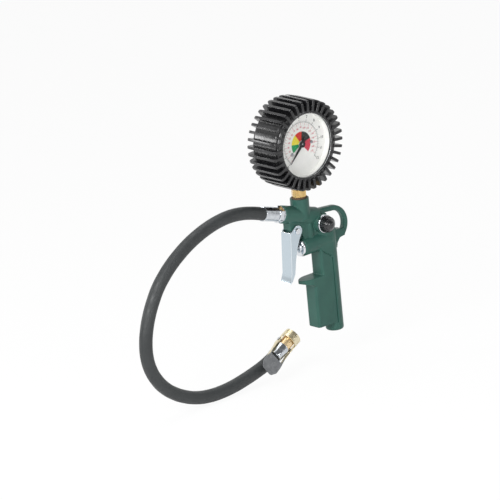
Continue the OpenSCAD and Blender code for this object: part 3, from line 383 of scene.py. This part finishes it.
def pressed_clip():
    """Pressed steel of the chuck's lever under a thin yellow passivate: warm and softly bright."""
    material = plated("yellow_passivate", "#e1d6b4", 0.28, 0.36, 8)
    clouded(material, "#dccfa9", "#e8dec1", 6)
    grained(material, 1.5, 0.003)
    return material


def dull_clip():
    """The same pressed steel painted an even mid grey on the thumb plate: painted shade, for a face
    turned towards the dim side.
    """
    material = surface("painted_shade_steel", "#7d7f81", 0.5, 0.7)
    clouded(material, "#75777a", "#87898b", 4)
    grained(material, 0.6, 0.01)
    return material


def black_sheet_steel():
    """Black stove enamel on the deep-drawn case: smooth, with a slight orange peel."""
    material = surface("black_stove_enamel", "#1f2022", 0.35, Coat_Weight=0.2)
    clouded(material, "#1b1c1e", "#26272a", 12)
    grained(material, 1.2, 0.015)
    return material


def bright_ring():
    """Rolled bright steel of the snap ring."""
    material = plated("bright_steel_ring", "#cfd2d5", 0.16, 0.26)
    grained(material, 0.8, 0.008)
    return material


def dial_lacquer():
    """Matt white lacquer on the dial plate, with a fine tooth that keeps reflections away."""
    material = surface("white_dial_lacquer", "#f1f1ee", 0.6)
    clouded(material, "#eeeeeb", "#f4f4f1", 9)
    grained(material, 0.2, 0.004)
    return material


def dial_ink(name, code):
    """Screen-printed ink: flat, slightly uneven in density."""
    material = surface(name, code, 0.65)
    dark = "#" + "".join(f"{max(0, int(code[i:i + 2], 16) - 8):02x}" for i in (1, 3, 5))
    clouded(material, dark, code, 0.8)
    return material


def clear_lens():
    """Clear moulded polystyrene: only its gloss and a faint haze can be seen."""
    material = surface("clear_lens", "#30363a", 0.06, Alpha=0.04)
    patchy_gloss(material, 0.04, 0.1, 12)
    return material


def black_nylon():
    """Moulded nylon of the bleed button and its ring: deep black, with gloss on its edges."""
    material = surface("black_nylon", "#17181a", 0.25, Coat_Weight=0.6, Coat_Roughness=0.12)
    clouded(material, "#141517", "#1c1d20", 4)
    patchy_gloss(material, 0.2, 0.3, 3)
    grained(material, 2, 0.001)
    return material


def pointer_paint():
    """Matt black paint on the thin sheet pointer."""
    material = surface("matt_black_paint", "#17181a", 0.55)
    clouded(material, "#141517", "#1d1e20", 2)
    return material


def seal_rubber():
    """Smooth black nitrile rubber of the seals."""
    material = surface("nitrile_rubber", "#212224", 0.6)
    clouded(material, "#1d1e20", "#27282a", 2)
    grained(material, 0.3, 0.008)
    return material


def brown_fibre():
    """Vulcanised fibre of the stem's washer: dull dark brown with short fibres."""
    material = surface("vulcanised_fibre", "#5b4636", 0.7)
    clouded(material, "#4f3c2e", "#67513f", 1.2)
    grained(material, 0.25, 0.02)
    return material


ENAMEL = stove_enamel()
GUARD = guard_rubber()
HOSE = hose_rubber()
NICKEL = nickel_plate()
HIGHLIGHT_NICKEL = rubbed_nickel()
CHROME = chrome_plate()
ZINC = zinc_plate()
STEM_BRASS = stem_brass()
# Paler and more satin than the brass of the gun
CHUCK_BRASS = brass("turned_brass_chuck", CHUCK_AXIS, "#f2d5a4", "#f8e0b8", 0.4)
VALVE_BRASS = brass("turned_brass_valve", (1, 0, 0))
PLATE_BRASS = sheet_brass()
STEEL = spring_steel()
CLIP_STEEL = pressed_clip()
SHADE_GREY_STEEL = dull_clip()
CASE_BLACK = black_sheet_steel()
RING = bright_ring()
DIAL = dial_lacquer()
LENS = clear_lens()
NYLON = black_nylon()
POINTER = pointer_paint()
SEAL = seal_rubber()
FIBRE = brown_fibre()


# ---------------------------------------------------------------- shaping

# Points nearer than this are one: in metres on a node's copy, in millimetres on a turned shape
SAME_ON_COPY, SAME_ON_TURNED = 1e-6, 1e-4
# Faces that meet at less than the first angle are one flat face; past the second they are rounded
FLAT, SHARP_EDGE = 1, 30


def merged_copy(node):
    """A CAD node's shape as one joined mesh with whole flat faces."""
    bm = bmesh.new()
    bm.from_mesh(frame["nodes"][node].data)
    bmesh.ops.remove_doubles(bm, verts=bm.verts, dist=SAME_ON_COPY)
    bmesh.ops.dissolve_limit(bm, angle_limit=math.radians(FLAT), verts=bm.verts, edges=bm.edges)
    return bm


def round_edges(bm, edges, width, segments):
    """Rounds these edges and gives what that made."""
    return bmesh.ops.bevel(
        bm, geom=edges, offset=width, offset_type="OFFSET", segments=segments, profile=0.5,
        affect="EDGES", clamp_overlap=True, material=-1
    )


def turned(profile, steps):
    """A shape turned round Z from a closed profile of (radius, height) points."""
    bm = bmesh.new()
    verts = [bm.verts.new((r, 0, z)) for r, z in profile]
    edges = [bm.edges.new(pair) for pair in zip(verts, verts[1:] + verts[:1])]
    bmesh.ops.spin(
        bm, geom=verts + edges, cent=ORIGIN, axis=(0, 0, 1), angle=math.tau, steps=steps,
        use_merge=True
    )
    bmesh.ops.remove_doubles(bm, verts=bm.verts, dist=SAME_ON_TURNED)
    bmesh.ops.recalc_face_normals(bm, faces=bm.faces)
    return bm


def as_mesh(bm, name):
    mesh = bpy.data.meshes.new(name)
    bm.to_mesh(mesh)
    bm.free()
    return mesh


def evaluated(data, modifier_kind=None, **settings):
    """The mesh that a curve or a text makes, or a mesh after one modifier."""
    holder = new_object("holder", data)
    if modifier_kind:
        modifier = holder.modifiers.new(modifier_kind.lower(), modifier_kind)
        for name, value in settings.items():
            setattr(modifier, name, value)
    shown = holder.evaluated_get(bpy.context.evaluated_depsgraph_get())
    result = bpy.data.meshes.new_from_object(shown)
    bpy.data.objects.remove(holder)
    return result


def cut_away(mesh, tool, **settings):
    """The mesh less what a closed cutting shape takes out of it."""
    cutter = new_object("cutter", tool)
    cut = evaluated(
        mesh, "BOOLEAN", operation="DIFFERENCE", solver="EXACT", object=cutter, **settings
    )
    bpy.data.objects.remove(cutter)
    return cut


def piece(name, mesh, materials, body, stands_for=(), smooth=35):
    """Makes a finished piece that rides on a body and stands for the named nodes.

    Faces that meet at less than smooth degrees are shaded as one surface, in which flat faces
    stay flat beside rounded edges. At 180 degrees the whole piece is one rounded surface.
    """
    for material in materials:
        mesh.materials.append(material)
    mesh.polygons.foreach_set("use_smooth", [True] * len(mesh.polygons))
    mesh.set_sharp_from_angle(angle=math.radians(smooth))
    if smooth < 180:
        mesh = evaluated(mesh, "WEIGHTED_NORMAL", keep_sharp=True)
    mesh.name = name
    made = new_object(name, mesh)
    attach(made, body)
    if stands_for:
        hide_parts(*stands_for)
    return made


def softened(name, node, material, width, segments=2, rims=None):
    """A node's own shape with its sharp edges rounded, and these in the finish rims if given."""
    bm = merged_copy(node)
    sharp = math.radians(SHARP_EDGE)
    edges = [e for e in bm.edges if e.is_manifold and e.calc_face_angle() > sharp]
    for face in round_edges(bm, edges, width * MM, segments)["faces"]:
        face.material_index = 1 if rims else 0
    materials = [material, rims] if rims else [material]
    return piece(name, as_mesh(bm, name), materials, BODY_OF[node], [node])


# ---------------------------------------------------------------- gun

# Where the grip's raised sides meet the flat before them, as (x, z) from the inlet up and forward
SIDE_EDGE = [(-1.9, 8), (-1.9, 71.6), (-14.6, 81)]
SIDE_FLAT_Y = 7.7
GROOVE_WIDE, GROOVE_DEEP = 0.9, 0.7
# The casting's skin: its voxels' size, rounds of smoothing and the share of its faces that stays
VOXEL = 0.36
SMOOTHINGS = 2
FACES_KEPT = 0.3


def side_grooves():
    """The shallow groove at the foot of each raised side, as cutting bars."""
    bm = bmesh.new()
    for side in (-1, 1):
        for (x0, z0), (x1, z1) in zip(SIDE_EDGE, SIDE_EDGE[1:]):
            bar = bmesh.ops.create_cube(bm, size=1)["verts"]
            long = math.dist((x0, z0), (x1, z1)) + GROOVE_WIDE
            bmesh.ops.scale(bm, vec=(GROOVE_WIDE, 2 * GROOVE_DEEP, long), verts=bar)
            lean = Matrix.Rotation(math.atan2(x1 - x0, z1 - z0), 3, "Y")
            bmesh.ops.rotate(bm, cent=ORIGIN, matrix=lean, verts=bar)
            middle = ((x0 + x1) / 2, side * SIDE_FLAT_Y, (z0 + z1) / 2)
            bmesh.ops.translate(bm, vec=middle, verts=bar)
    bmesh.ops.scale(bm, vec=(MM, MM, MM), verts=bm.verts)
    return as_mesh(bm, "side_grooves")


def gun_casting():
    """The gun with the rounded edges and filled corners of a casting."""
    grooved = cut_away(as_mesh(merged_copy("gun_body"), "gun"), side_grooves(), use_self=True)
    cast = evaluated(grooved, "REMESH", mode="VOXEL", voxel_size=VOXEL * MM)
    bm = bmesh.new()
    bm.from_mesh(cast)
    for _ in range(SMOOTHINGS):
        bmesh.ops.smooth_vert(
            bm, verts=bm.verts, factor=0.5, use_axis_x=True, use_axis_y=True, use_axis_z=True
        )
    fine = evaluated(as_mesh(bm, "fine"), "DECIMATE", ratio=FACES_KEPT)
    piece("gun_casting", fine, [ENAMEL], "gun", ["gun_body"], smooth=180)


# ---------------------------------------------------------------- guard

RIB_COUNT = 36
RIB_THICK = 2.8
RIB_ROUNDING = 0.4
# Beyond this radius a rib loses this share of its thickness with each millimetre
RIB_THINS_FROM, RIB_THINS = 35, 0.01
# One rib seen along the rim, as (radius, height out of the dial)
RIB = [
    (31.6, 17.6), (31.6, 19.4), (33, 20.3), (39.8, 20.3), (41.4, 19.8), (42, 18.6), (42.2, 12),
    (42.2, -8), (41.9, -14.6), (41.2, -17.2), (39.8, -18), (35, -17.4), (34.6, -14), (34.6, 15)
]
# The wall that carries the ribs, in the same way
GUARD_WALL = [
    (26.6, -17), (34.4, -17), (35.4, -16), (35.6, -14), (35.6, 14.6), (35, 16.8), (33.8, 18),
    (31, 18.8), (29.9, 18.6), (29.5, 18.2), (29.5, 17.8), (31.7, 17.7), (31.7, -15.1),
    (26.6, -15.1)
]
STEM_WAY_RADIUS, STEM_WAY_LONG, STEM_WAY_MIDDLE = 9, 30, (0, -38, 0)
# The stem's angle round the guard, and how far from it its way may meet a rib
STEM_ANGLE, BESIDE_STEM = 270, 20


def guard_rib(bm, degrees):
    """One rounded rib, thinner towards its outer edge, at an angle round the guard."""
    face = bm.faces.new([bm.verts.new((r, -RIB_THICK / 2, z)) for r, z in RIB])
    body = bmesh.ops.extrude_face_region(bm, geom=[face])["geom"]
    moved = [v for v in body if isinstance(v, bmesh.types.BMVert)]
    bmesh.ops.translate(bm, vec=(0, RIB_THICK, 0), verts=moved)
    verts = set(face.verts) | set(moved)
    for v in verts:
        v.co.y *= 1 - RIB_THINS * max(0, v.co.x - RIB_THINS_FROM)
    faces = {f for v in verts for f in v.link_faces}
    bmesh.ops.recalc_face_normals(bm, faces=list(faces))
    rims = [e for f in faces if len(f.verts) > 4 for e in f.edges]
    out = round_edges(bm, rims, RIB_ROUNDING, 3)
    verts = set(out["verts"]) | {v for f in out["faces"] for v in f.verts}
    bmesh.ops.rotate(bm, cent=ORIGIN, matrix=rotation("Z", degrees), verts=list(verts))


def stem_way():
    """The stem's way through the guard, as a cutting rod."""
    bm = bmesh.new()
    bmesh.ops.create_cone(
        bm, segments=48, radius1=STEM_WAY_RADIUS, radius2=STEM_WAY_RADIUS, depth=STEM_WAY_LONG,
        cap_ends=True, matrix=Matrix.Translation(STEM_WAY_MIDDLE) @ rotation("X", 90, 4)
    )
    return as_mesh(bm, "stem_way")


def rubber_guard():
    """Ribbed rubber guard that grips the case, notched for the stem."""
    bm, beside_stem = bmesh.new(), bmesh.new()
    for i in range(RIB_COUNT):
        degrees = (i + 0.5) * 360 / RIB_COUNT
        guard_rib(beside_stem if abs(degrees - STEM_ANGLE) < BESIDE_STEM else bm, degrees)
    for part in (turned(GUARD_WALL, steps=144), beside_stem):
        bm.from_mesh(cut_away(as_mesh(part, "part"), stem_way()))
    bmesh.ops.transform(bm, matrix=GAUGE, verts=bm.verts)
    guard = as_mesh(bm, "rubber_guard")
    piece("rubber_guard", guard, [GUARD], "gun", ["gauge_guard"], smooth=50)


# ---------------------------------------------------------------- dial

# Heights out of the dial and of the ink on it
DIAL_FACE, INK = 9.6, 0.03
DIAL_START, DIAL_SWEEP = 225, 270
# A figure's height as a share of its font's size, and how far ink spreads as a share of it
FIGURE_HEIGHT, INK_SPREAD = 0.7, 0.016
ARC_STEP = 3

# Radii of the black scale's marks and numbers, the widths of its marks and its numbers' height
BAR_FULL, BAR_STEPS = 12, 5
BAR_FOOT, BAR_MINOR, BAR_MAIN, BAR_NUMBERS = 20.2, 21.5, 22.8, 25.2
BAR_LINE = (20.1, 20.35)
BAR_MINOR_WIDE, BAR_MAIN_WIDE, BAR_NUMBERS_HIGH = 0.2, 0.42, 2.5

# The same of the red scale, whose numbers at each 20 stand further in
PSI_FULL, PSI_STEP, PSI_MAIN_STEP = 174, 5, 10
PSI_FOOT, PSI_MINOR, PSI_MAIN, PSI_NUMBERS, PSI_NUMBERS_AT_20 = 19.7, 18.3, 17.4, 15.5, 14.8
PSI_MINOR_WIDE, PSI_MAIN_WIDE, PSI_NUMBERS_HIGH = 0.16, 0.3, 1.7

FIELDS_INNER, FIELDS_OUTER = 3, 11.6
# Each field's first and last angle, ink and colour
FIELDS = [
    (172, 212, "green_ink", "#1c9a5c"),
    (123, 172, "yellow_ink", "#f0e04a"),
    (81, 123, "scarlet_ink", "#d8392f"),
    (15, 81, "field_black_ink", "#2d3030"),
    (-50, 15, "crimson_ink", "#d9485c")
]


def dial_angle(share):
    """Where on the dial a share of full scale is: from the lower left clockwise to the right."""
    return DIAL_START - DIAL_SWEEP * share


def mark(bm, degrees, inner, outer, width):
    """One printed line of a scale."""
    bar = bmesh.ops.create_cube(bm, size=1)["verts"]
    bmesh.ops.scale(bm, vec=(outer - inner, width, INK), verts=bar)
    bmesh.ops.translate(bm, vec=((inner + outer) / 2, 0, DIAL_FACE + INK / 2), verts=bar)
    bmesh.ops.rotate(bm, cent=ORIGIN, matrix=rotation("Z", degrees), verts=bar)


def numeral(bm, text, height, degrees, radius):
    """One upright printed number, centred on a radius."""
    curve = bpy.data.curves.new("numeral", "FONT")
    curve.body = text
    curve.size = height / FIGURE_HEIGHT
    curve.align_x = "CENTER"
    curve.align_y = "CENTER"
    curve.extrude = INK / 2
    curve.offset = height * INK_SPREAD
    curve.resolution_u = 4
    shape = evaluated(curve)
    turn = math.radians(degrees)
    middle = (radius * math.cos(turn), radius * math.sin(turn), DIAL_FACE + INK / 2)
    shape.transform(Matrix.Translation(middle))
    bm.from_mesh(shape)


def sector(bm, start, end, inner, outer, material=0):
    """A flat printed field between two angles and two radii."""
    before = set(bm.faces)
    top = DIAL_FACE + INK
    corners = ((inner, 0, DIAL_FACE), (outer, 0, DIAL_FACE), (outer, 0, top), (inner, 0, top))
    verts = [bm.verts.new(corner) for corner in corners]
    face = bm.faces.new(verts)
    bmesh.ops.rotate(bm, cent=ORIGIN, matrix=rotation("Z", start), verts=verts)
    bmesh.ops.spin(
        bm, geom=[face], cent=ORIGIN, axis=(0, 0, 1), angle=math.radians(end - start),
        steps=max(4, round(abs(end - start) / ARC_STEP)), use_merge=False
    )
    made = [f for f in bm.faces if f not in before]
    bmesh.ops.recalc_face_normals(bm, faces=made)
    for f in made:
        f.material_index = material


def printed(name, bm, inks):
    """Lays what was drawn on the dial in its place."""
    bmesh.ops.transform(bm, matrix=GAUGE, verts=bm.verts)
    piece(name, as_mesh(bm, name), inks, "gun")


def black_scale():
    """The outer scale, in bar."""
    bm = bmesh.new()
    marks = BAR_FULL * BAR_STEPS
    for i in range(marks + 1):
        main = i % BAR_STEPS == 0
        mark(
            bm, dial_angle(i / marks), BAR_FOOT, BAR_MAIN if main else BAR_MINOR,
            BAR_MAIN_WIDE if main else BAR_MINOR_WIDE
        )
    sector(bm, DIAL_START - DIAL_SWEEP, DIAL_START, *BAR_LINE)
    for n in range(BAR_FULL + 1):
        numeral(bm, str(n), BAR_NUMBERS_HIGH, dial_angle(n / BAR_FULL), BAR_NUMBERS)
    printed("scale_black", bm, [dial_ink("black_ink", "#17171a")])


def red_scale():
    """The inner scale, in pounds per square inch."""
    bm = bmesh.new()
    for psi in range(0, PSI_FULL + 1, PSI_STEP):
        main = psi % PSI_MAIN_STEP == 0
        mark(
            bm, dial_angle(psi / PSI_FULL), PSI_MAIN if main else PSI_MINOR, PSI_FOOT,
            PSI_MAIN_WIDE if main else PSI_MINOR_WIDE
        )
    for psi in range(PSI_MAIN_STEP, PSI_FULL, PSI_MAIN_STEP):
        radius = PSI_NUMBERS if psi % 20 else PSI_NUMBERS_AT_20
        numeral(bm, str(psi), PSI_NUMBERS_HIGH, dial_angle(psi / PSI_FULL), radius)
    printed("scale_red", bm, [dial_ink("red_ink", "#cc4d5c")])


def coloured_fields():
    """The five plain fields round the pointer's centre."""
    bm = bmesh.new()
    for i, (start, end, _, _) in enumerate(FIELDS):
        sector(bm, start, end, FIELDS_INNER, FIELDS_OUTER, i)
    printed("dial_fields", bm, [dial_ink(name, code) for _, _, name, code in FIELDS])


# ---------------------------------------------------------------- hose and chuck

# The hose's middle line from the gun to the chuck, as (x, z)
HOSE_ROUTE = [
    (-74.395, 131.125), (-88, 135.4), (-101, 138.1), (-114, 139), (-127, 138), (-140, 135.4),
    (-152.5, 131.5), (-164.5, 126.5), (-175.5, 120.5), (-186, 113.5), (-195.5, 105.5), (-204, 96.5),
    (-211, 86), (-217, 74.5), (-221.5, 62), (-224, 49.5), (-224.2, 37), (-221.5, 25), (-216, 14),
    (-208, 4), (-197.5, -4.5), (-185, -11.5), (-171.5, -16.5), (-157, -19.2), (-142.5, -19.8),
    (-128, -18.8), (-114.5, -16.6), (-101.5, -13.8), (-88.5, -10.2), (-76, -5.2)
]
HOSE_RADIUS = 6.1
# Radii of a crimped sleeve: the hole in its end, its bore for the hose, its barrel and its crimps
END_HOLE, HOSE_BORE, BARREL, CRIMP = 3.4, 6.13, 6.8, 6.66
END_THICK = 1.2
# The chuck's lever is thumb plate, painted grey as shade, as far as here, from the hose's end
# towards the mouth
THUMB_PLATE_END = -1


def hose_tube():
    """The hose as a round tube along its route, with a map that runs round and along it."""
    curve = bpy.data.curves.new("hose", "CURVE")
    curve.dimensions = "3D"
    curve.bevel_depth = HOSE_RADIUS * MM
    curve.bevel_resolution = 8
    curve.resolution_u = 4
    curve.use_fill_caps = True
    line = curve.splines.new("BEZIER")
    line.bezier_points.add(len(HOSE_ROUTE) - 1)
    for point, (x, z) in zip(line.bezier_points, HOSE_ROUTE):
        point.co = (x * MM, 0, z * MM)
        point.handle_left_type = point.handle_right_type = "AUTO"
    return piece("rubber_hose", evaluated(curve), [HOSE], "gun", ["air_hose"])


def crimped_sleeve(name, node, place, length, mouth_up):
    """A smooth crimped sleeve with a rounded lip at its mouth and two faint crimps."""
    profile = [
        (END_HOLE, 0), (6.3, 0), (6.7, 0.3), (BARREL, 0.8),
        (BARREL, length * 0.3), (CRIMP, length * 0.35), (BARREL, length * 0.4),
        (BARREL, length * 0.6), (CRIMP, length * 0.65), (BARREL, length * 0.7),
        (BARREL, length - 1.9), (6.98, length - 1.5), (7, length - 0.5), (6.9, length - 0.12),
        (6.6, length), (HOSE_BORE, length), (HOSE_BORE, END_THICK), (END_HOLE, END_THICK)
    ]
    bm = turned(profile, steps=64)
    if not mouth_up:
        turned_over = Matrix.Translation((0, 0, length)) @ Matrix.Scale(-1, 4, (0, 0, 1))
        bmesh.ops.transform(bm, matrix=turned_over, verts=bm.verts)
        bmesh.ops.recalc_face_normals(bm, faces=bm.faces)
    bmesh.ops.transform(bm, matrix=place, verts=bm.verts)
    sleeve = as_mesh(bm, name)
    return piece(name, sleeve, [ZINC], BODY_OF[node], [node], smooth=45)


def hooded_lever():
    """The lever of the chuck; its thumb plate, behind the hose's end, is painted mid grey as shade.
    """
    lever = softened("hooded_lever", "chuck_clip", CLIP_STEEL, 0.25)
    lever.data.materials.append(SHADE_GREY_STEEL)
    to_chuck = CHUCK.inverted()
    # The thumb plate's faces get the mid grey of painted shade
    for polygon in lever.data.polygons:
        if (to_chuck @ polygon.center).z < THUMB_PLATE_END:
            polygon.material_index = 1
    return lever


def pressed_spring(name, node, axis):
    """A coil spring: a copy of its node in bright steel, put in the node's place with its transform
    applied.
    """
    mesh = frame["nodes"][node].data.copy()
    along = [v.co[axis] for v in mesh.vertices]
    held, pressed = Vector(ORIGIN), Vector(ORIGIN)
    held[axis], pressed[axis] = max(along), min(along)
    mesh.materials.clear()
    mesh.materials.append(STEEL)
    spring = new_object(name, mesh)
    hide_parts(node)
    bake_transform(spring)


# ---------------------------------------------------------------- the pieces

# CAD nodes whose own shape is right, and what they are made of
CARRIED_OVER = {
    "stem_washer": FIBRE, "case_screws": STEEL, "gauge_lens": LENS, "dial_plate": DIAL,
    "dial_screws": STEEL, "front_plate": PLATE_BRASS, "back_plate": PLATE_BRASS,
    "plate_screws": STEEL, "bourdon_tube": PLATE_BRASS, "tube_link": STEEL,
    "sector_gear": PLATE_BRASS, "pointer_arbor": STEEL, "pointer": POINTER, "hairspring": STEEL,
    "nipple_washer": CHROME, "chuck_seal": SEAL, "chuck_core_pin": CHUCK_BRASS, "clip_pin": STEEL,
    "clip_spring": STEEL, "stem_o_ring": SEAL, "valve_stem": STEEL, "valve_disc": SEAL,
    "valve_seat": VALVE_BRASS, "bleed_pin": VALVE_BRASS, "bleed_disc": SEAL
}
# Where the hose's sleeve starts on the nipple, from the boss
HOSE_SLEEVE_START = 6

hose = hose_tube()
chuck_sleeve = crimped_sleeve("chuck_sleeve", "chuck_ferrule", CHUCK, length=13, mouth_up=False)
chuck_head = softened("chuck_head", "chuck_body", CHUCK_BRASS, 0.25)
chuck_clip = hooded_lever()

gun_casting()
rubber_guard()
black_scale()
red_scale()
coloured_fields()
on_nipple = HOSE_BOSS @ Matrix.Translation((0, 0, HOSE_SLEEVE_START))
crimped_sleeve("hose_sleeve", "hose_ferrule", on_nipple, length=17, mouth_up=True)
softened("stem_and_block", "gauge_stem", STEM_BRASS, 0.3)
softened("black_case", "gauge_case", CASE_BLACK, 0.5, 3)
softened("snap_ring", "gauge_bezel", RING, 0.25, 3)
softened("nipple", "hose_nipple", CHROME, 0.25)
# The lever's rounded rims take a nickel painted nearly white: a painted highlight along its bends
softened("lever", "trigger_lever", NICKEL, 0.5, 3, rims=HIGHLIGHT_NICKEL)
softened("lever_pin", "trigger_pin", CHROME, 0.2)
softened("gland", "gland_nut", CHROME, 0.25)
softened("lock_nut", "bleed_nut", CHROME, 0.25)
softened("ribbed_ring", "bleed_bezel", NYLON, 0.4, 3)
softened("push_button", "bleed_button", NYLON, 0.7, 3)

pressed_spring("stem_spring", "valve_spring", 0)
pressed_spring("button_spring", "bleed_spring", 1)

for node, material in CARRIED_OVER.items():
    for carried in frame["nodes"][node].material_slots:
        carried.material = material


# ---------------------------------------------------------------- floor and backdrop

WHITE = colour("#ffffff")
# Linear red, green and blue, and a full alpha
PAPER = (0.9, 0.9, 0.9, 1)
# Directions of the backdrop and of the floor's left side, seen from the camera
BACKDROP_SIDE = (0.614, 0.73, -0.3)
LEFT_SIDE = (-0.91, -0.41, 0)
# Strengths of the world and the floor, where 1 is white
WORLD_IN_VIEW, WORLD_DIM, WORLD_BRIGHT, WORLD_OTHER_LIGHT = 1.0, 0.18, 1.0, 0.34
FLOOR_IN_VIEW, FLOOR_DIM, FLOOR_BRIGHT = 0.93, 0.2, 0.9
# Where they rise from dim to bright: shares of the world's radius, metres on the floor
WORLD_RISE, FLOOR_RISE, LEFT_RISE = (-0.35, 0.35), (-0.15, 0.15), (0.18, 0.3)
# In metres: half a side of the floor, and its gap under the object
FLOOR_REACH, FLOOR_GAP = 4, 0.001


def by_path(tree, in_view, in_reflections, in_other_light):
    """A strength in view, another in reflections and glass, another in the light on the object."""
    path = add(tree, "ShaderNodeLightPath")
    mirrored = add(
        tree, "ShaderNodeMath", {},
        {0: path.outputs["Is Glossy Ray"], 1: path.outputs["Is Transmission Ray"]},
        operation="MAXIMUM"
    )
    strength = add(
        tree, "ShaderNodeMapRange", {"To Min": in_other_light},
        {"Value": mirrored.outputs[0], "To Max": in_reflections}
    )
    return add(
        tree, "ShaderNodeMapRange", {"To Max": in_view},
        {"Value": path.outputs["Is Camera Ray"], "To Min": strength.outputs[0]}
    ).outputs[0]


def rise(tree, place, direction, span, low, high):
    """A strength that rises smoothly from low to high over a span along a direction."""
    along = add(tree, "ShaderNodeVectorMath", {1: direction}, {0: place}, operation="DOT_PRODUCT")
    return add(
        tree, "ShaderNodeMapRange",
        {"From Min": span[0], "From Max": span[1], "To Min": low, "To Max": high},
        {"Value": along.outputs["Value"]}, interpolation_type="SMOOTHSTEP"
    ).outputs[0]


def make_world():
    """White in view; in reflections white on the backdrop's side and dim on the other."""
    world = bpy.data.worlds.new("studio")
    world.use_nodes = True
    tree = world.node_tree
    back = tree.nodes["Background"]
    back.inputs["Color"].default_value = WHITE
    outwards = add(tree, "ShaderNodeTexCoord").outputs["Generated"]
    room = rise(tree, outwards, BACKDROP_SIDE, WORLD_RISE, WORLD_DIM, WORLD_BRIGHT)
    strength = by_path(tree, WORLD_IN_VIEW, room, WORLD_OTHER_LIGHT)
    tree.links.new(strength, back.inputs["Strength"])
    bpy.context.scene.world = world


def white_paper():
    """Matt white paper: white in view; in reflections bright behind and to the left, else dim."""
    material = surface("white_paper", "#ffffff", 0.9)
    paper = shader_of(material)
    paper.inputs["Base Color"].default_value = PAPER
    tree = material.node_tree
    place = add(tree, "ShaderNodeTexCoord").outputs["Object"]
    glow = add(tree, "ShaderNodeEmission", {"Color": WHITE, "Strength": 1.0})
    behind = rise(tree, place, BACKDROP_SIDE, FLOOR_RISE, FLOOR_DIM, FLOOR_BRIGHT)
    beside = rise(tree, place, LEFT_SIDE, LEFT_RISE, 0, 1)
    lit = add(tree, "ShaderNodeMath", {}, {0: behind, 1: beside}, operation="MAXIMUM")
    share = by_path(tree, FLOOR_IN_VIEW, lit.outputs[0], 0)
    both = add(
        tree, "ShaderNodeMixShader", {}, {0: share, 1: paper.outputs[0], 2: glow.outputs[0]}
    )
    tree.links.new(both.outputs[0], tree.nodes["Material Output"].inputs["Surface"])
    return material


def make_floor():
    """A wide white floor just under the object, which keeps a faint shadow."""
    bm = bmesh.new()
    bmesh.ops.create_grid(bm, x_segments=1, y_segments=1, size=FLOOR_REACH)
    bmesh.ops.translate(bm, vec=(0, 0, cad_box[0].z - FLOOR_GAP), verts=bm.verts)
    floor = new_object("floor", as_mesh(bm, "floor"))
    floor.data.materials.append(white_paper())


make_world()
make_floor()
bpy.context.scene.view_settings.view_transform = "Standard"
